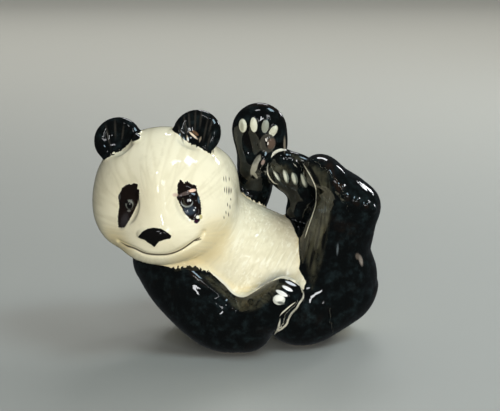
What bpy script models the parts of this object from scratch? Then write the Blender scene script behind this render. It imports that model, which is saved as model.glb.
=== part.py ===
"""A glazed ceramic figurine of a giant panda that rolls on its back and plays with its feet.

The figurine is one hollow casting, modelled here as one solid. It is built as a potter would build
it: balls and rolls of clay are pressed together and their joins are smoothed, hollows are pressed
in, pads and claws are laid on, lines are scored, and the underside is rubbed flat so that the
figurine stands.

+X is the viewer's right, +Y is away from the viewer and +Z is up, in metres.
"""

import math
from dataclasses import dataclass

import bmesh
import bpy
import numpy as np
from mathutils import Euler, Matrix

# Driving sizes, in metres. The forms below keep the figure's proportions: they are written in
# sculptor's units, of which the figure's length has 142.
FIGURE_LENGTH = 0.142
FOOT_DEPTH = 0.0014
UNIT = FIGURE_LENGTH / 142

# How finely the clay is worked, in sculptor's units, and how many triangles the casting keeps.
CLAY_GRAIN = 1.15
SURFACE_TRIANGLES = 9400


@dataclass(frozen=True)
class Place:
    """A place and a turn (degrees about X, Y, Z) that the forms of one part share."""

    at: tuple
    turn: tuple = (0, 0, 0)

    def matrix(self):
        turn = Euler([math.radians(angle) for angle in self.turn]).to_matrix().to_4x4()
        return Matrix.Translation(self.at) @ turn

    def local(self, points):
        """World points in this place's own axes."""
        into = np.array(self.matrix().inverted())
        return points @ into[:3, :3].T + into[:3, 3]


WORLD = Place((0, 0, 0))


@dataclass(frozen=True)
class Ball:
    """An ellipsoid of clay with three radii."""

    at: tuple
    radii: tuple
    turn: tuple = (0, 0, 0)
    place: Place = WORLD

    def lumps(self):
        matrix = self.place.matrix() @ Place(self.at, self.turn).matrix()
        return [matrix @ Matrix.Diagonal((*self.radii, 1))]

    def depth(self, points):
        """The distance of each point above the form's surface, negative inside it."""
        local = Place(self.at, self.turn).local(self.place.local(points))
        radii = np.array(self.radii)
        reach = np.linalg.norm(local / radii, axis=1)
        slope = np.linalg.norm(local / radii**2, axis=1)
        return reach * (reach - 1) / np.maximum(slope, 1e-9)


def smooth_line(knots, steps=6):
    """Closely spaced stations on a smooth curve through the given ones."""
    knots = np.array(knots, float)
    knots = np.vstack([2 * knots[0] - knots[1], knots, 2 * knots[-1] - knots[-2]])
    line = []
    for before, a, b, after in zip(knots, knots[1:], knots[2:], knots[3:]):
        for t in np.arange(steps) / steps:
            line.append(
                0.5 * (2 * a + (b - before) * t
                       + (2 * before - 5 * a + 4 * b - after) * t**2
                       + (3 * a - before - 3 * b + after) * t**3)
            )
    line.append(knots[-2])
    return np.array(line)


def nearest_on_line(points, line):
    """Yields the distance of the points to each link of a line, and their share along the link."""
    for a, b in zip(line, line[1:]):
        along = b[:3] - a[:3]
        share = np.clip((points - a[:3]) @ along / (along @ along), 0, 1)
        yield np.linalg.norm(points - a[:3] - share[:, None] * along, axis=1), share, a, b


@dataclass(frozen=True)
class Roll:
    """A roll of clay along a smooth line through (x, y, z, radius) stations."""

    stations: tuple

    def lumps(self):
        return [
            Matrix.Translation(station[:3]) @ Matrix.Scale(station[3], 4)
            for station in smooth_line(self.stations)
        ]

    def depth(self, points):
        """The distance of each point above the form's surface, negative inside it."""
        nearest = np.full(len(points), np.inf)
        for reach, share, a, b in nearest_on_line(points, smooth_line(self.stations)):
            nearest = np.minimum(nearest, reach - a[3] - share * (b[3] - a[3]))
        return nearest


def joined(a, b, soft):
    """The surface of two forms pressed together, with a fillet of about this radius."""
    overlap = np.maximum(soft - np.abs(a - b), 0) / soft
    return np.minimum(a, b) - overlap**2 * soft / 4


@dataclass(frozen=True)
class Mass:
    """Forms worked into one another, and how softly they are joined to the rest."""

    forms: tuple
    soft: float
    join: float
    fine: bool = False

    def lumps(self):
        return [lump for form in self.forms for lump in form.lumps()]

    def covers(self, points):
        """Which points lie on this mass, where it is a small feature."""
        return self.depth(points) < 0.8 if self.fine else np.zeros(len(points), bool)

    def worked_in(self, whole, points):
        """The figure's surface with this mass added."""
        return joined(whole, self.depth(points), self.join)

    def depth(self, points):
        depth = self.forms[0].depth(points)
        for form in self.forms[1:]:
            depth = joined(depth, form.depth(points), self.soft)
        return depth


@dataclass(frozen=True)
class Hollow(Mass):
    """Forms pressed into the clay and taken away again."""

    def lumps(self):
        return []

    def worked_in(self, whole, points):
        """The figure's surface with this hollow pressed in."""
        return -joined(-whole, self.depth(points), self.join)


@dataclass(frozen=True)
class Stroke:
    """A line scored this deep, or raised where the depth is negative.

    The tool comes in along the place's own Y, so the line finds the surface by itself.
    """

    path: tuple
    width: float
    depth: float
    place: Place = WORLD

    def lumps(self):
        return []

    def nearest(self, points):
        squeeze = np.array([1, 0.3, 1])
        local = self.place.local(points) * squeeze
        nearest = np.full(len(local), np.inf)
        for reach, *_ in nearest_on_line(local, smooth_line(self.path, 4) * squeeze):
            nearest = np.minimum(nearest, reach)
        return nearest

    def covers(self, points):
        """Which points lie on this line, where it is a narrow one."""
        return (self.nearest(points) < self.width) & (self.width < 1.5)

    def worked_in(self, whole, points):
        """The figure's surface with this line scored in it."""
        near = np.abs(whole) < 6
        scored = whole.copy()
        scored[near] += self.depth * np.exp(-(self.nearest(points[near]) / self.width)**2)
        return scored


HEAD = Place((-35.5, -14, 76), (-4, -5, -4))
EARS = (-18.8, 19.6)
EYES = (((-12.3, -24.3, 0.8), 14), ((15, -23.6, 0.3), -12))


def head():
    """The skull with its cheeks, muzzle and chin, and the ruff and throat behind them."""
    skull = Mass(
        forms=(
            Ball((0, 2, 2.5), (34, 30, 30.5), place=HEAD),
            Ball((16.5, -3, -9), (17.5, 19, 18), place=HEAD),
            Ball((-15.5, -3, -7.5), (17, 19, 17), place=HEAD),
            Ball((0, -17, -14), (17, 17, 11.5), place=HEAD),
            Ball((0.5, -18.5, 1), (7.5, 11, 17), place=HEAD),
            Ball((1, -14, -19.5), (18, 14, 9.5), place=HEAD),
        ),
        soft=9,
        join=5,
    )
    ruff = Mass(
        forms=(
            Ball((-14, -1, 78.5), (14.5, 15, 17), (0, 12, 0)),
            Ball((-16, -10, 59), (20, 19, 16), (0, 20, 0)),
        ),
        soft=6,
        join=7,
    )
    return [skull, ruff]


def ears():
    shells = Mass(
        forms=tuple(Ball((x, -5, 28.8), (11.6, 4.4, 11.2), (-18, 0, 0), HEAD) for x in EARS),
        soft=1,
        join=2.5,
    )
    cups = Hollow(
        forms=tuple(Ball((x, -11.5, 31), (9.2, 6, 9.2), (-18, 0, 0), HEAD) for x in EARS),
        soft=1,
        join=1.5,
    )
    curl = Mass(
        forms=(Ball((-8.5, -9.5, 27.5), (2.4, 2.6, 4.5), (-15, -20, 0), HEAD),),
        soft=1,
        join=1.5,
    )
    folds = [
        Stroke(((x + lean * 0.6, -9, 22), (x + lean, -8, 31), (x + lean * 0.9, -9, 38)), 1.1, 0.7, HEAD)
        for x in EARS
        for lean in (-5.5, -1.8, 1.8, 5.5)
    ]
    return [shells, cups, curl, *folds]


def face():
    """The eyes in their sockets under their lids, the nose and the smile."""
    made = []
    for (x, y, z), lean in EYES:
        made += [
            Hollow((Ball((x, y - 3.4, z - 1), (4.6, 3, 7.6), (0, lean, 0), HEAD),), 1, 2),
            Mass((Ball((x, y, z), (2.9, 2.7, 2.9), place=HEAD),), 1, 0.5, fine=True),
            Stroke(((x - 3.4, y, z + 2), (x, y, z + 3.8), (x + 3.4, y, z + 2)), 0.9, -0.9, HEAD),
        ]
    nose = Mass(
        forms=(
            Ball((-0.6, -31, -13), (8.6, 4.6, 3.7), place=HEAD),
            Ball((-0.8, -30.6, -16), (3.8, 4, 3.6), place=HEAD),
        ),
        soft=2,
        join=0.8,
        fine=True,
    )
    smile = Stroke(
        (
            (-20.3, -21, -17.5),
            (-11.7, -28, -19.8),
            (-6.2, -29, -22.6),
            (0.9, -30, -23.7),
            (6.1, -29, -23.2),
            (13.6, -27, -20.3),
            (19.1, -24, -17.6),
            (20.8, -23, -15.5),
        ),
        width=1.1,
        depth=1.2,
        place=HEAD,
    )
    return [*made, nose, smile]


def body():
    trunk = Mass(
        forms=(
            Roll(((42, 5, 26.5, 26), (22, 5, 30, 28.5), (-4, 2, 41, 29.5), (-20, 0, 56, 26))),
            Ball((-5, 6, 21.3), (32, 22, 22.4)),
            Ball((60, 12, 26), (9, 6, 9), (0, 20, 0)),
        ),
        soft=4,
        join=4,
    )
    return [trunk]


def near_arm():
    """The arm that rests on its elbow, with the paw and its claws on the belly."""
    limb = Mass(
        forms=(
            Roll(((-35, -12, 43, 16.5), (-25, -18, 32, 18), (-9, -22, 17.2, 17.2), (4, -24.5, 13.5, 14.2))),
            Roll(((2, -27, 16, 13), (13, -33, 23, 11), (23, -36, 32, 9))),
        ),
        soft=4,
        join=2,
    )
    ridge = Stroke(((-24, -30, 44), (-13.5, -36, 36.5), (-6, -37, 31.5), (-2, -38, 26.5)), 2, -1.1)
    elbow = Stroke(((-4, -36, 30), (1, -38, 27.5), (5, -40, 29)), 2.6, 1.1)
    claws = Mass(
        forms=(
            Ball((20.2, -43.6, 32.3), (3.2, 1.7, 2.3), (0, -12, 0)),
            Ball((22.2, -43.2, 35.8), (2.9, 1.6, 1.5), (0, -8, 0)),
            Ball((24.3, -41.7, 38.2), (2.7, 1.6, 1.3), (-20, -4, 0)),
            Ball((26.2, -39.6, 39.8), (2.4, 1.6, 1.2), (-35, 0, 0)),
        ),
        soft=0.4,
        join=0.6,
        fine=True,
    )
    return [limb, ridge, elbow, claws]


def far_arm():
    """The raised arm with its open paw, the palm and its pads towards the viewer."""
    limb = Mass(
        forms=(
            Roll(((-4, 20, 60, 17), (8, 17, 73, 10), (9.5, 12, 88, 9.5))),
            Ball((11.2, 9, 104), (13.7, 6.5, 13.5)),
            Ball((12.6, 9, 96), (12.6, 6.5, 11)),
            Roll(((6, 8, 84, 4), (10, 3, 87, 4.5), (13, 2, 90, 3.5))),
        ),
        soft=4,
        join=2,
    )
    palm = Hollow((Ball((6.2, -0.4, 97), (4.8, 5, 8.2), (0, -6, 0)),), soft=1, join=2)
    pads = Mass(
        forms=(
            Ball((2.9, 4.4, 106.7), (2.1, 1.5, 3.3), (0, -6, 0)),
            Ball((8.3, 3.4, 107.6), (2.1, 1.5, 3.4)),
            Ball((13.9, 3.2, 106.8), (2.1, 1.5, 3.3), (0, 14, 0)),
            Ball((17.9, 3.6, 104.3), (2.0, 1.5, 3.2), (0, 32, 0)),
            Ball((14.7, 2.8, 98.6), (4.4, 2, 4.8), (0, 14, 0)),
        ),
        soft=0.4,
        join=0.6,
        fine=True,
    )
    return [limb, palm, pads]


def near_leg():
    """The haunch, and the leg that stands up from it with its foot turned away."""
    limb = Mass(
        forms=(
            Roll(((46.8, -4, 29.5, 24.5), (48, -8, 46, 18.5), (51.5, -12, 61, 16.5), (53.5, -12, 70, 14))),
            Ball((36, -10, 20.3), (21.5, 22, 20.5)),
            Ball((30, -14, 18), (18, 16, 18.5)),
            Ball((40.5, 0.5, 59), (7, 8, 10)),
            Ball((51, -13, 79.4), (20, 14.5, 8.6), (0, 38, 0)),
            Ball((41, -12, 87), (8.5, 12, 8), (0, 10, 0)),
            Ball((62.5, -12, 69.5), (7, 11, 8.5), (0, 10, 0)),
        ),
        soft=5,
        join=1.2,
    )
    facet = Stroke(
        ((40, -22, 90), (41.5, -24, 80), (42, -24, 71), (39.5, -24, 61), (37, -23, 50), (35, -26, 38)),
        width=3.4,
        depth=1,
    )
    sole = Stroke(
        ((43.9, -23, 90.5), (47, -25, 85), (51, -26, 79.5), (57, -26, 75), (61.6, -25, 73.5), (66, -23, 71)),
        width=2,
        depth=-1.4,
    )
    return [limb, facet, sole]


def far_leg():
    """The leg behind the belly, with its foot against the far paw's wrist."""
    limb = Mass(
        forms=(
            Roll(((42, 18, 38, 18), (39, 15, 56, 12), (36.5, 12, 70, 9.5))),
            Ball((29, 7, 81.5), (15, 6, 12), (20, 25, 0)),
        ),
        soft=5,
        join=1.2,
    )
    toes = Mass((Ball((23, 5.5, 89.5), (8, 5.5, 5.5), (20, 12, 0)),), soft=1, join=0.8)
    pads = Mass(
        forms=(
            Ball((19.7, 3.8, 81.4), (1.7, 1.5, 3.1), (0, -18, 0)),
            Ball((24.4, 2.2, 81.2), (1.8, 1.5, 3.1), (0, -18, 0)),
            Ball((28.9, 1.5, 80.7), (1.8, 1.5, 3.1), (0, -18, 0)),
            Ball((33.4, 1.5, 79.6), (1.8, 1.5, 3.1), (0, -18, 0)),
        ),
        soft=0.4,
        join=0.6,
        fine=True,
    )
    return [limb, toes, pads]


def figure_steps():
    """The masses, hollows and strokes in the order in which they are worked."""
    return [
        *body(),
        *head(),
        *ears(),
        *face(),
        *near_arm(),
        *far_arm(),
        *near_leg(),
        *far_leg(),
    ]


def surface(points, steps):
    """The distance of each point above the figure's surface, negative inside it."""
    whole = steps[0].depth(points)
    for step in steps[1:]:
        whole = step.worked_in(whole, points)
    return whole


def clay_lumps(steps):
    """One mesh of all the overlapping lumps, before they are worked together."""
    clay = bmesh.new()
    bmesh.ops.create_uvsphere(clay, u_segments=24, v_segments=16, radius=1)
    ball = bpy.data.meshes.new("ball")
    clay.to_mesh(ball)
    clay.clear()
    for step in steps:
        for matrix in step.lumps():
            lump = ball.copy()
            lump.transform(matrix)
            clay.from_mesh(lump)
    mesh = bpy.data.meshes.new("clay")
    clay.to_mesh(mesh)
    clay.free()
    return mesh


def applied(obj):
    """The object's evaluated mesh takes the place of its own, and its modifiers go."""
    graph = bpy.context.evaluated_depsgraph_get()
    mesh = bpy.data.meshes.new_from_object(obj.evaluated_get(graph))
    obj.modifiers.clear()
    obj.data = mesh


def press_to_surface(mesh, steps, rounds):
    """Moves every vertex along its normal on to the smoothed surface of the forms."""
    count = len(mesh.vertices) * 3
    points, normals = np.empty(count), np.empty(count)
    for _ in range(rounds):
        mesh.vertices.foreach_get("co", points)
        mesh.vertex_normals.foreach_get("vector", normals)
        lift = np.clip(surface(points.reshape(-1, 3), steps), -1.5, 1.5)
        moved = points - (lift[:, None] * normals.reshape(-1, 3)).ravel()
        mesh.vertices.foreach_set("co", moved)
        mesh.update()


def work_clay(figure, steps, grain, rounds):
    """Makes one even skin of the clay and presses it on to the forms' surface."""
    remesh = figure.modifiers.new("worked clay", "REMESH")
    remesh.mode = "VOXEL"
    remesh.voxel_size = grain
    applied(figure)
    press_to_surface(figure.data, steps, rounds)


def thin_out(figure, steps):
    """Leaves the casting with the triangles that it needs, more of them on its small features."""
    figure.data.calc_loop_triangles()
    points = np.empty(len(figure.data.vertices) * 3)
    figure.data.vertices.foreach_get("co", points)
    fine = np.any([step.covers(points.reshape(-1, 3)) for step in steps], axis=0)
    plain = figure.vertex_groups.new(name="plain clay")
    plain.add(np.flatnonzero(~fine).tolist(), 1, "REPLACE")
    thinner = figure.modifiers.new("fewer triangles", "DECIMATE")
    thinner.ratio = SURFACE_TRIANGLES / len(figure.data.loop_triangles)
    thinner.vertex_group = plain.name
    applied(figure)
    figure.vertex_groups.clear()


def seat(figure):
    """Brings the figure to its real size, rubs its foot flat and centres it on its foot."""
    figure.data.transform(Matrix.Scale(UNIT, 4))
    points = np.array([vertex.co for vertex in figure.data.vertices])
    low, high = points.min(axis=0), points.max(axis=0)
    foot = low[2] + FOOT_DEPTH
    centre = (low + high) / 2
    figure.data.transform(Matrix.Translation((-centre[0], -centre[1], -foot)))
    body = bmesh.new()
    body.from_mesh(figure.data)
    cut = bmesh.ops.bisect_plane(
        body,
        geom=[*body.verts, *body.edges, *body.faces],
        dist=UNIT * 0.02,
        plane_co=(0, 0, 0),
        plane_no=(0, 0, -1),
        clear_outer=True,
    )
    rim = [item for item in cut["geom_cut"] if isinstance(item, bmesh.types.BMEdge)]
    bmesh.ops.contextual_create(body, geom=rim)
    bmesh.ops.triangulate(body, faces=body.faces)
    body.to_mesh(figure.data)
    body.free()


def glaze():
    """A plain glossy ceramic finish."""
    finish = bpy.data.materials.new("glazed_ceramic")
    finish.use_nodes = True
    shader = finish.node_tree.nodes["Principled BSDF"]
    shader.inputs["Base Color"].default_value = (0.72, 0.68, 0.56, 1)
    shader.inputs["Roughness"].default_value = 0.15
    finish.diffuse_color = (0.72, 0.68, 0.56, 1)
    return finish


def build():
    for obj in list(bpy.data.objects):
        bpy.data.objects.remove(obj)
    steps = figure_steps()
    collection = bpy.data.collections.new("panda_figurine")
    bpy.context.scene.collection.children.link(collection)
    figure = bpy.data.objects.new("panda_figurine", clay_lumps(steps))
    collection.objects.link(figure)
    work_clay(figure, steps, CLAY_GRAIN * 1.4, 4)
    work_clay(figure, steps, CLAY_GRAIN, 3)
    thin_out(figure, steps)
    seat(figure)
    figure.data.materials.append(glaze())
    return figure


if __name__ == "__main__":
    build()
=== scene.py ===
"""A glazed ceramic panda that rolls on its back and plays with its feet: its surface and glazes.

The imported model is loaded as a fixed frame. The figurine is modelled again in fine clay as one
piece: balls and rolls are pressed together, hollows and lines are worked in, the fur is combed,
and the paint is laid on as measured distances that the glaze material reads.

Forms are written in millimetres, with +X to the viewer's right, +Y away and +Z up. Paint on the
front is laid out as it is seen from the photograph's point of view, in millimetres across and up.
"""

from __future__ import annotations

import logging
import math
from dataclasses import dataclass, field
from enum import Enum
from typing import Iterator, Sequence

import bpy
import numpy as np
from mathutils import Euler, Matrix, Vector, noise
from mathutils.bvhtree import BVHTree


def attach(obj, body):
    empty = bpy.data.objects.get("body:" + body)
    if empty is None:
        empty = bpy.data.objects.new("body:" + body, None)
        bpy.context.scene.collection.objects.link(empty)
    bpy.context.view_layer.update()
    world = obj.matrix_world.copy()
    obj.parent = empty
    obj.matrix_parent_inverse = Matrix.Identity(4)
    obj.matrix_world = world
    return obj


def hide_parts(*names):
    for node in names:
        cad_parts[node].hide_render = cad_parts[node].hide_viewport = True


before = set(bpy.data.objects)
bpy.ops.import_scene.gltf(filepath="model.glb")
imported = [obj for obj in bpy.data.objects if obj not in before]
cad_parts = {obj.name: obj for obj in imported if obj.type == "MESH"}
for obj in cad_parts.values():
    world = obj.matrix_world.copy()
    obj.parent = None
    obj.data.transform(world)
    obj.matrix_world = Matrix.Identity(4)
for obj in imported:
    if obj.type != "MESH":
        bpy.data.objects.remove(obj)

LOG = logging.getLogger("panda_figurine")
NODE = "panda_figurine"
MM = 0.001

Triple = tuple[float, float, float]
Pair = tuple[float, float]
Socket = bpy.types.NodeSocket

# Further away than this, in millimetres, a form has no part in any join.
CLEAR_OF_JOINS = 12
# How far from the surface a scored line still reaches, in millimetres.
STROKE_REACH = 6
# The distance that stands for far outside every painted shape, in millimetres.
UNPAINTED = -6.0
# The distance that stands for far from every painted line, in millimetres.
FAR_FROM_LINES = 99.0
# Where the frame's origin lies in the axes that the forms are written in, in millimetres.
FRAME_ORIGIN = (0.51278, -6.64724, 0.00657)


@dataclass(frozen=True)
class Place:
    """A place and a turn that the forms of one part share.

    Attributes:
        at: The place, in millimetres.
        turn: Degrees about X, Y and Z.
    """

    at: Triple
    turn: Triple = (0, 0, 0)

    def matrix(self) -> Matrix:
        """The place as a matrix."""
        turn = Euler([math.radians(angle) for angle in self.turn]).to_matrix().to_4x4()
        return Matrix.Translation(self.at) @ turn

    def local(self, points: np.ndarray) -> np.ndarray:
        """World points in this place's own axes."""
        into = np.array(self.matrix().inverted())
        return points @ into[:3, :3].T + into[:3, 3]


WORLD = Place((0, 0, 0))
HEAD = Place((-35.5, -14, 76), (-4, -5, -4))


@dataclass(frozen=True)
class Ball:
    """An ellipsoid of clay.

    Attributes:
        at: Its middle.
        radii: Its three radii.
        turn: Degrees about X, Y and Z.
        place: The part's place that it is measured from.
    """

    at: Triple
    radii: Triple
    turn: Triple = (0, 0, 0)
    place: Place = WORLD

    def lumps(self) -> list[Matrix]:
        """The unit balls that make the form, as matrices."""
        matrix = self.place.matrix() @ Place(self.at, self.turn).matrix()
        return [matrix @ Matrix.Diagonal((*self.radii, 1))]

    def depth(self, points: np.ndarray) -> np.ndarray:
        """The distance of each point above the form's surface, negative inside it."""
        local = Place(self.at, self.turn).local(self.place.local(points))
        radii = np.array(self.radii)
        reach = np.linalg.norm(local / radii, axis=1)
        slope = np.linalg.norm(local / radii**2, axis=1)
        return reach * (reach - 1) / np.maximum(slope, 1e-9)


def smooth_line(knots: Sequence[Sequence[float]], steps: int = 6, closed: bool = False) -> np.ndarray:
    """Closely spaced stations on a smooth curve through the given ones.

    Args:
        knots: The stations that the curve passes through.
        steps: How many stations stand for each stretch.
        closed: Whether the curve returns to its first station.

    Returns:
        The stations, one to a row.
    """
    given = np.array(knots, float)
    if closed:
        given = np.vstack([given[-1], given, given[:2]])
    else:
        given = np.vstack([2 * given[0] - given[1], given, 2 * given[-1] - given[-2]])
    line = []
    for before, a, b, after in zip(given, given[1:], given[2:], given[3:]):
        for t in np.arange(steps) / steps:
            line.append(
                0.5 * (2 * a + (b - before) * t
                       + (2 * before - 5 * a + 4 * b - after) * t**2
                       + (3 * a - before - 3 * b + after) * t**3)
            )
    line.append(given[-2])
    return np.array(line)


def nearest_on_line(
    points: np.ndarray, line: np.ndarray, size: int = 3
) -> Iterator[tuple[np.ndarray, np.ndarray, np.ndarray, np.ndarray]]:
    """Measures points against each link of a line.

    Args:
        points: The points, one to a row.
        line: The stations of the line, of which the first columns are a place.
        size: How many columns are a place.

    Yields:
        The distance of the points to the link, their share along it, and its two ends.
    """
    for a, b in zip(line, line[1:]):
        along = b[:size] - a[:size]
        share = np.clip((points - a[:size]) @ along / max(along @ along, 1e-12), 0, 1)
        yield np.linalg.norm(points - a[:size] - share[:, None] * along, axis=1), share, a, b


@dataclass(frozen=True)
class Roll:
    """A roll of clay.

    Attributes:
        stations: (x, y, z, radius) along its smooth middle line.
    """

    stations: tuple[tuple[float, float, float, float], ...]

    def lumps(self) -> list[Matrix]:
        """The unit balls that make the form, as matrices."""
        return [
            Matrix.Translation(station[:3]) @ Matrix.Scale(station[3], 4)
            for station in smooth_line(self.stations)
        ]

    def depth(self, points: np.ndarray) -> np.ndarray:
        """The distance of each point above the form's surface, negative inside it."""
        line = smooth_line(self.stations)
        middle = line[:, :3].mean(axis=0)
        reach = (np.linalg.norm(line[:, :3] - middle, axis=1) + line[:, 3]).max()
        depth = np.linalg.norm(points - middle, axis=1) - reach
        near = depth < CLEAR_OF_JOINS
        inner = points[near]
        nearest = np.full(len(inner), np.inf)
        for away, share, a, b in nearest_on_line(inner, line):
            nearest = np.minimum(nearest, away - a[3] - share * (b[3] - a[3]))
        depth[near] = nearest
        return depth


def joined(a: np.ndarray, b: np.ndarray, soft: float) -> np.ndarray:
    """The surface of two forms pressed together, with a fillet of about this radius."""
    overlap = np.maximum(soft - np.abs(a - b), 0) / soft
    return np.minimum(a, b) - overlap**2 * soft / 4


@dataclass(frozen=True)
class Mass:
    """Forms worked into one another.

    Attributes:
        forms: The balls and rolls.
        soft: The fillet between them.
        join: The fillet between them and the rest of the figurine.
    """

    forms: tuple[Ball | Roll, ...]
    soft: float
    join: float

    def lumps(self) -> list[Matrix]:
        """The unit balls that make the mass, as matrices."""
        return [lump for form in self.forms for lump in form.lumps()]

    def worked_in(self, whole: np.ndarray, points: np.ndarray) -> np.ndarray:
        """The figurine's surface with this mass added."""
        return joined(whole, self.depth(points), self.join)

    def depth(self, points: np.ndarray) -> np.ndarray:
        """The distance of each point above the mass's surface, negative inside it."""
        depth = self.forms[0].depth(points)
        for form in self.forms[1:]:
            depth = joined(depth, form.depth(points), self.soft)
        return depth


@dataclass(frozen=True)
class Hollow(Mass):
    """Forms pressed into the clay and taken away again."""

    def lumps(self) -> list[Matrix]:
        """A hollow adds no clay."""
        return []

    def worked_in(self, whole: np.ndarray, points: np.ndarray) -> np.ndarray:
        """The figurine's surface with this hollow pressed in."""
        return -joined(-whole, self.depth(points), self.join)


@dataclass(frozen=True)
class Stroke:
    """A line scored in the clay, or raised where its depth is negative.

    The tool comes in along the place's own Y, so the line finds the surface by itself.

    Attributes:
        path: The places that the line passes through.
        width: How wide the line is.
        depth: How deep the line is.
        place: The part's place that it is measured from.
        squeeze: How much a distance along Y counts, beside one across.
    """

    path: tuple[Triple, ...]
    width: float
    depth: float
    place: Place = WORLD
    squeeze: float = 0.3

    def lumps(self) -> list[Matrix]:
        """A stroke adds no clay."""
        return []

    def worked_in(self, whole: np.ndarray, points: np.ndarray) -> np.ndarray:
        """The figurine's surface with this line scored in it."""
        near = np.abs(whole) < STROKE_REACH
        squeeze = np.array([1, self.squeeze, 1])
        local = self.place.local(points[near]) * squeeze
        nearest = np.full(len(local), np.inf)
        for reach, *_ in nearest_on_line(local, smooth_line(self.path, 4) * squeeze):
            nearest = np.minimum(nearest, reach)
        scored = whole.copy()
        scored[near] += self.depth * np.exp(-(nearest / self.width)**2)
        return scored


@dataclass(frozen=True)
class Comb:
    """Fur strokes that a toothed tool leaves in the clay, all in one direction.

    Attributes:
        along: The direction of the hairs.
        pitch: The distance between strokes.
        run: How long a stroke is.
        height: How deep the strokes are.
        seed: Sets this comb's strokes apart from the others'.
        groove: How wide a groove is, on the scale of the noise.
    """

    along: Triple
    pitch: float = 2.6
    run: float = 16
    height: float = 0.3
    seed: float = 0
    groove: float = 0.16

    def laid_out(self, points: np.ndarray) -> np.ndarray:
        """The points with the hairs' direction shortened, ready for even noise."""
        along = np.array(self.along) / np.linalg.norm(self.along)
        share = (points @ along)[:, None] * along
        return (points - share) / self.pitch + share / self.run

    def strokes(self, points: np.ndarray) -> np.ndarray:
        """Zero on a ridge to minus one in the middle of a groove, for each point."""
        laid = self.laid_out(points) + self.seed
        wave = np.array([noise.noise(place) for place in laid])
        return -np.exp(-(wave / self.groove)**2)


@dataclass(frozen=True)
class FanComb(Comb):
    """Fur strokes that spread from a middle, in the XZ plane of a place.

    Attributes:
        middle: Where the strokes spread from, in the place's own axes.
        place: The part's place.
        reach: The distance from the middle at which the pitch is as given.
        smooth: The distance from the middle within which the clay stays smooth.
        fade: The distance over which the strokes then grow to their full depth.
    """

    middle: Triple = (0, 0, 0)
    place: Place = HEAD
    reach: float = 25
    smooth: float = 7
    fade: float = 14

    def spread(self, points: np.ndarray) -> tuple[np.ndarray, np.ndarray]:
        """The points measured from the middle, and how far out from it each one lies."""
        local = self.place.local(points) - np.array(self.middle)
        return local, np.hypot(local[:, 0], local[:, 2])

    def laid_out(self, points: np.ndarray) -> np.ndarray:
        """The points by their angle and distance from the middle."""
        local, out = self.spread(points)
        ring = local[:, ::2] / np.maximum(out, 1e-6)[:, None] * self.reach / self.pitch
        return np.column_stack([ring, out / self.run])

    def strokes(self, points: np.ndarray) -> np.ndarray:
        """Zero on a ridge to minus one in a groove, and fainter towards the middle."""
        _, out = self.spread(points)
        return super().strokes(points) * np.clip((out - self.smooth) / self.fade, 0, 1)


@dataclass(frozen=True)
class Sight:
    """The photograph's point of view.

    Attributes:
        target: The point in the middle of the picture, in the figurine's millimetres.
        distance: From the target to the eye.
        elevation: Degrees above the horizon.
        lens: The focal length.
        sensor: The width of the sensor.
    """

    target: Triple = (6.5, 0, 67)
    distance: float = 600
    elevation: float = 14
    lens: float = 86.4
    sensor: float = 36

    def toward(self) -> np.ndarray:
        """The direction from the target to the eye."""
        tilt = math.radians(self.elevation)
        return np.array([0, -math.cos(tilt), math.sin(tilt)])

    def eye(self) -> np.ndarray:
        """The place of the eye."""
        return np.array(self.target) + self.toward() * self.distance

    def seen(self, points: np.ndarray) -> np.ndarray:
        """Each point's place in the picture, in millimetres across and up at the target."""
        toward = self.toward()
        upward = np.array([0, toward[2], -toward[1]])
        away = points - np.array(self.target)
        shrink = self.distance / (self.distance - away @ toward)
        return np.column_stack([away[:, 0] * shrink, (away @ upward) * shrink])


SIGHT = Sight()


@dataclass(frozen=True)
class Outline:
    """A closed painted outline, in millimetres across and up in the picture.

    Attributes:
        points: Its corners, in order.
        steps: How many stations stand for each stretch, or 1 for straight edges.
    """

    points: tuple[Pair, ...]
    steps: int = 1

    def inside(self, seen: np.ndarray) -> np.ndarray:
        """How far each place lies inside the outline, negative outside it."""
        line = smooth_line(self.points, self.steps, closed=True)
        nearest = np.full(len(seen), np.inf)
        within = np.zeros(len(seen), bool)
        for away, _, a, b in nearest_on_line(seen, line, size=2):
            nearest = np.minimum(nearest, away)
            spans = (seen[:, 1] > a[1]) != (seen[:, 1] > b[1])
            rise = b[1] - a[1] if b[1] != a[1] else 1e-9
            crossing = a[0] + (seen[:, 1] - a[1]) / rise * (b[0] - a[0])
            within ^= spans & (seen[:, 0] < crossing)
        return np.where(within, nearest, -nearest)


@dataclass(frozen=True)
class Line:
    """A painted line, in millimetres across and up in the picture.

    Attributes:
        points: The places that it passes through.
        width: Its width as a share of the widest line of its kind.
        taper: The length over which its ends thin out.
    """

    points: tuple[Pair, ...]
    width: float = 1
    taper: float = 3

    def side_and_reach(self, seen: np.ndarray) -> tuple[np.ndarray, np.ndarray]:
        """Measures places against the line.

        Args:
            seen: Places in the picture.

        Returns:
            The distance to the line, signed by its side and divided by its width, and how full
            the line is there, from zero at an end to one.
        """
        line = smooth_line(self.points, 5)
        lengths = np.concatenate([[0], np.cumsum(np.linalg.norm(np.diff(line, axis=0), axis=1))])
        nearest = np.full(len(seen), np.inf)
        side = np.full(len(seen), np.inf)
        reach = np.zeros(len(seen))
        for index, (away, share, a, b) in enumerate(nearest_on_line(seen, line, size=2)):
            closer = away < nearest
            turn = (b[0] - a[0]) * (seen[:, 1] - a[1]) - (b[1] - a[1]) * (seen[:, 0] - a[0])
            along = lengths[index] + share * (lengths[index + 1] - lengths[index])
            nearest[closer] = away[closer]
            side[closer] = (away * np.where(turn < 0, -1, 1) / self.width)[closer]
            reach[closer] = np.minimum(along, lengths[-1] - along)[closer]
        return side, np.clip(reach / self.taper, 0, 1)


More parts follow.
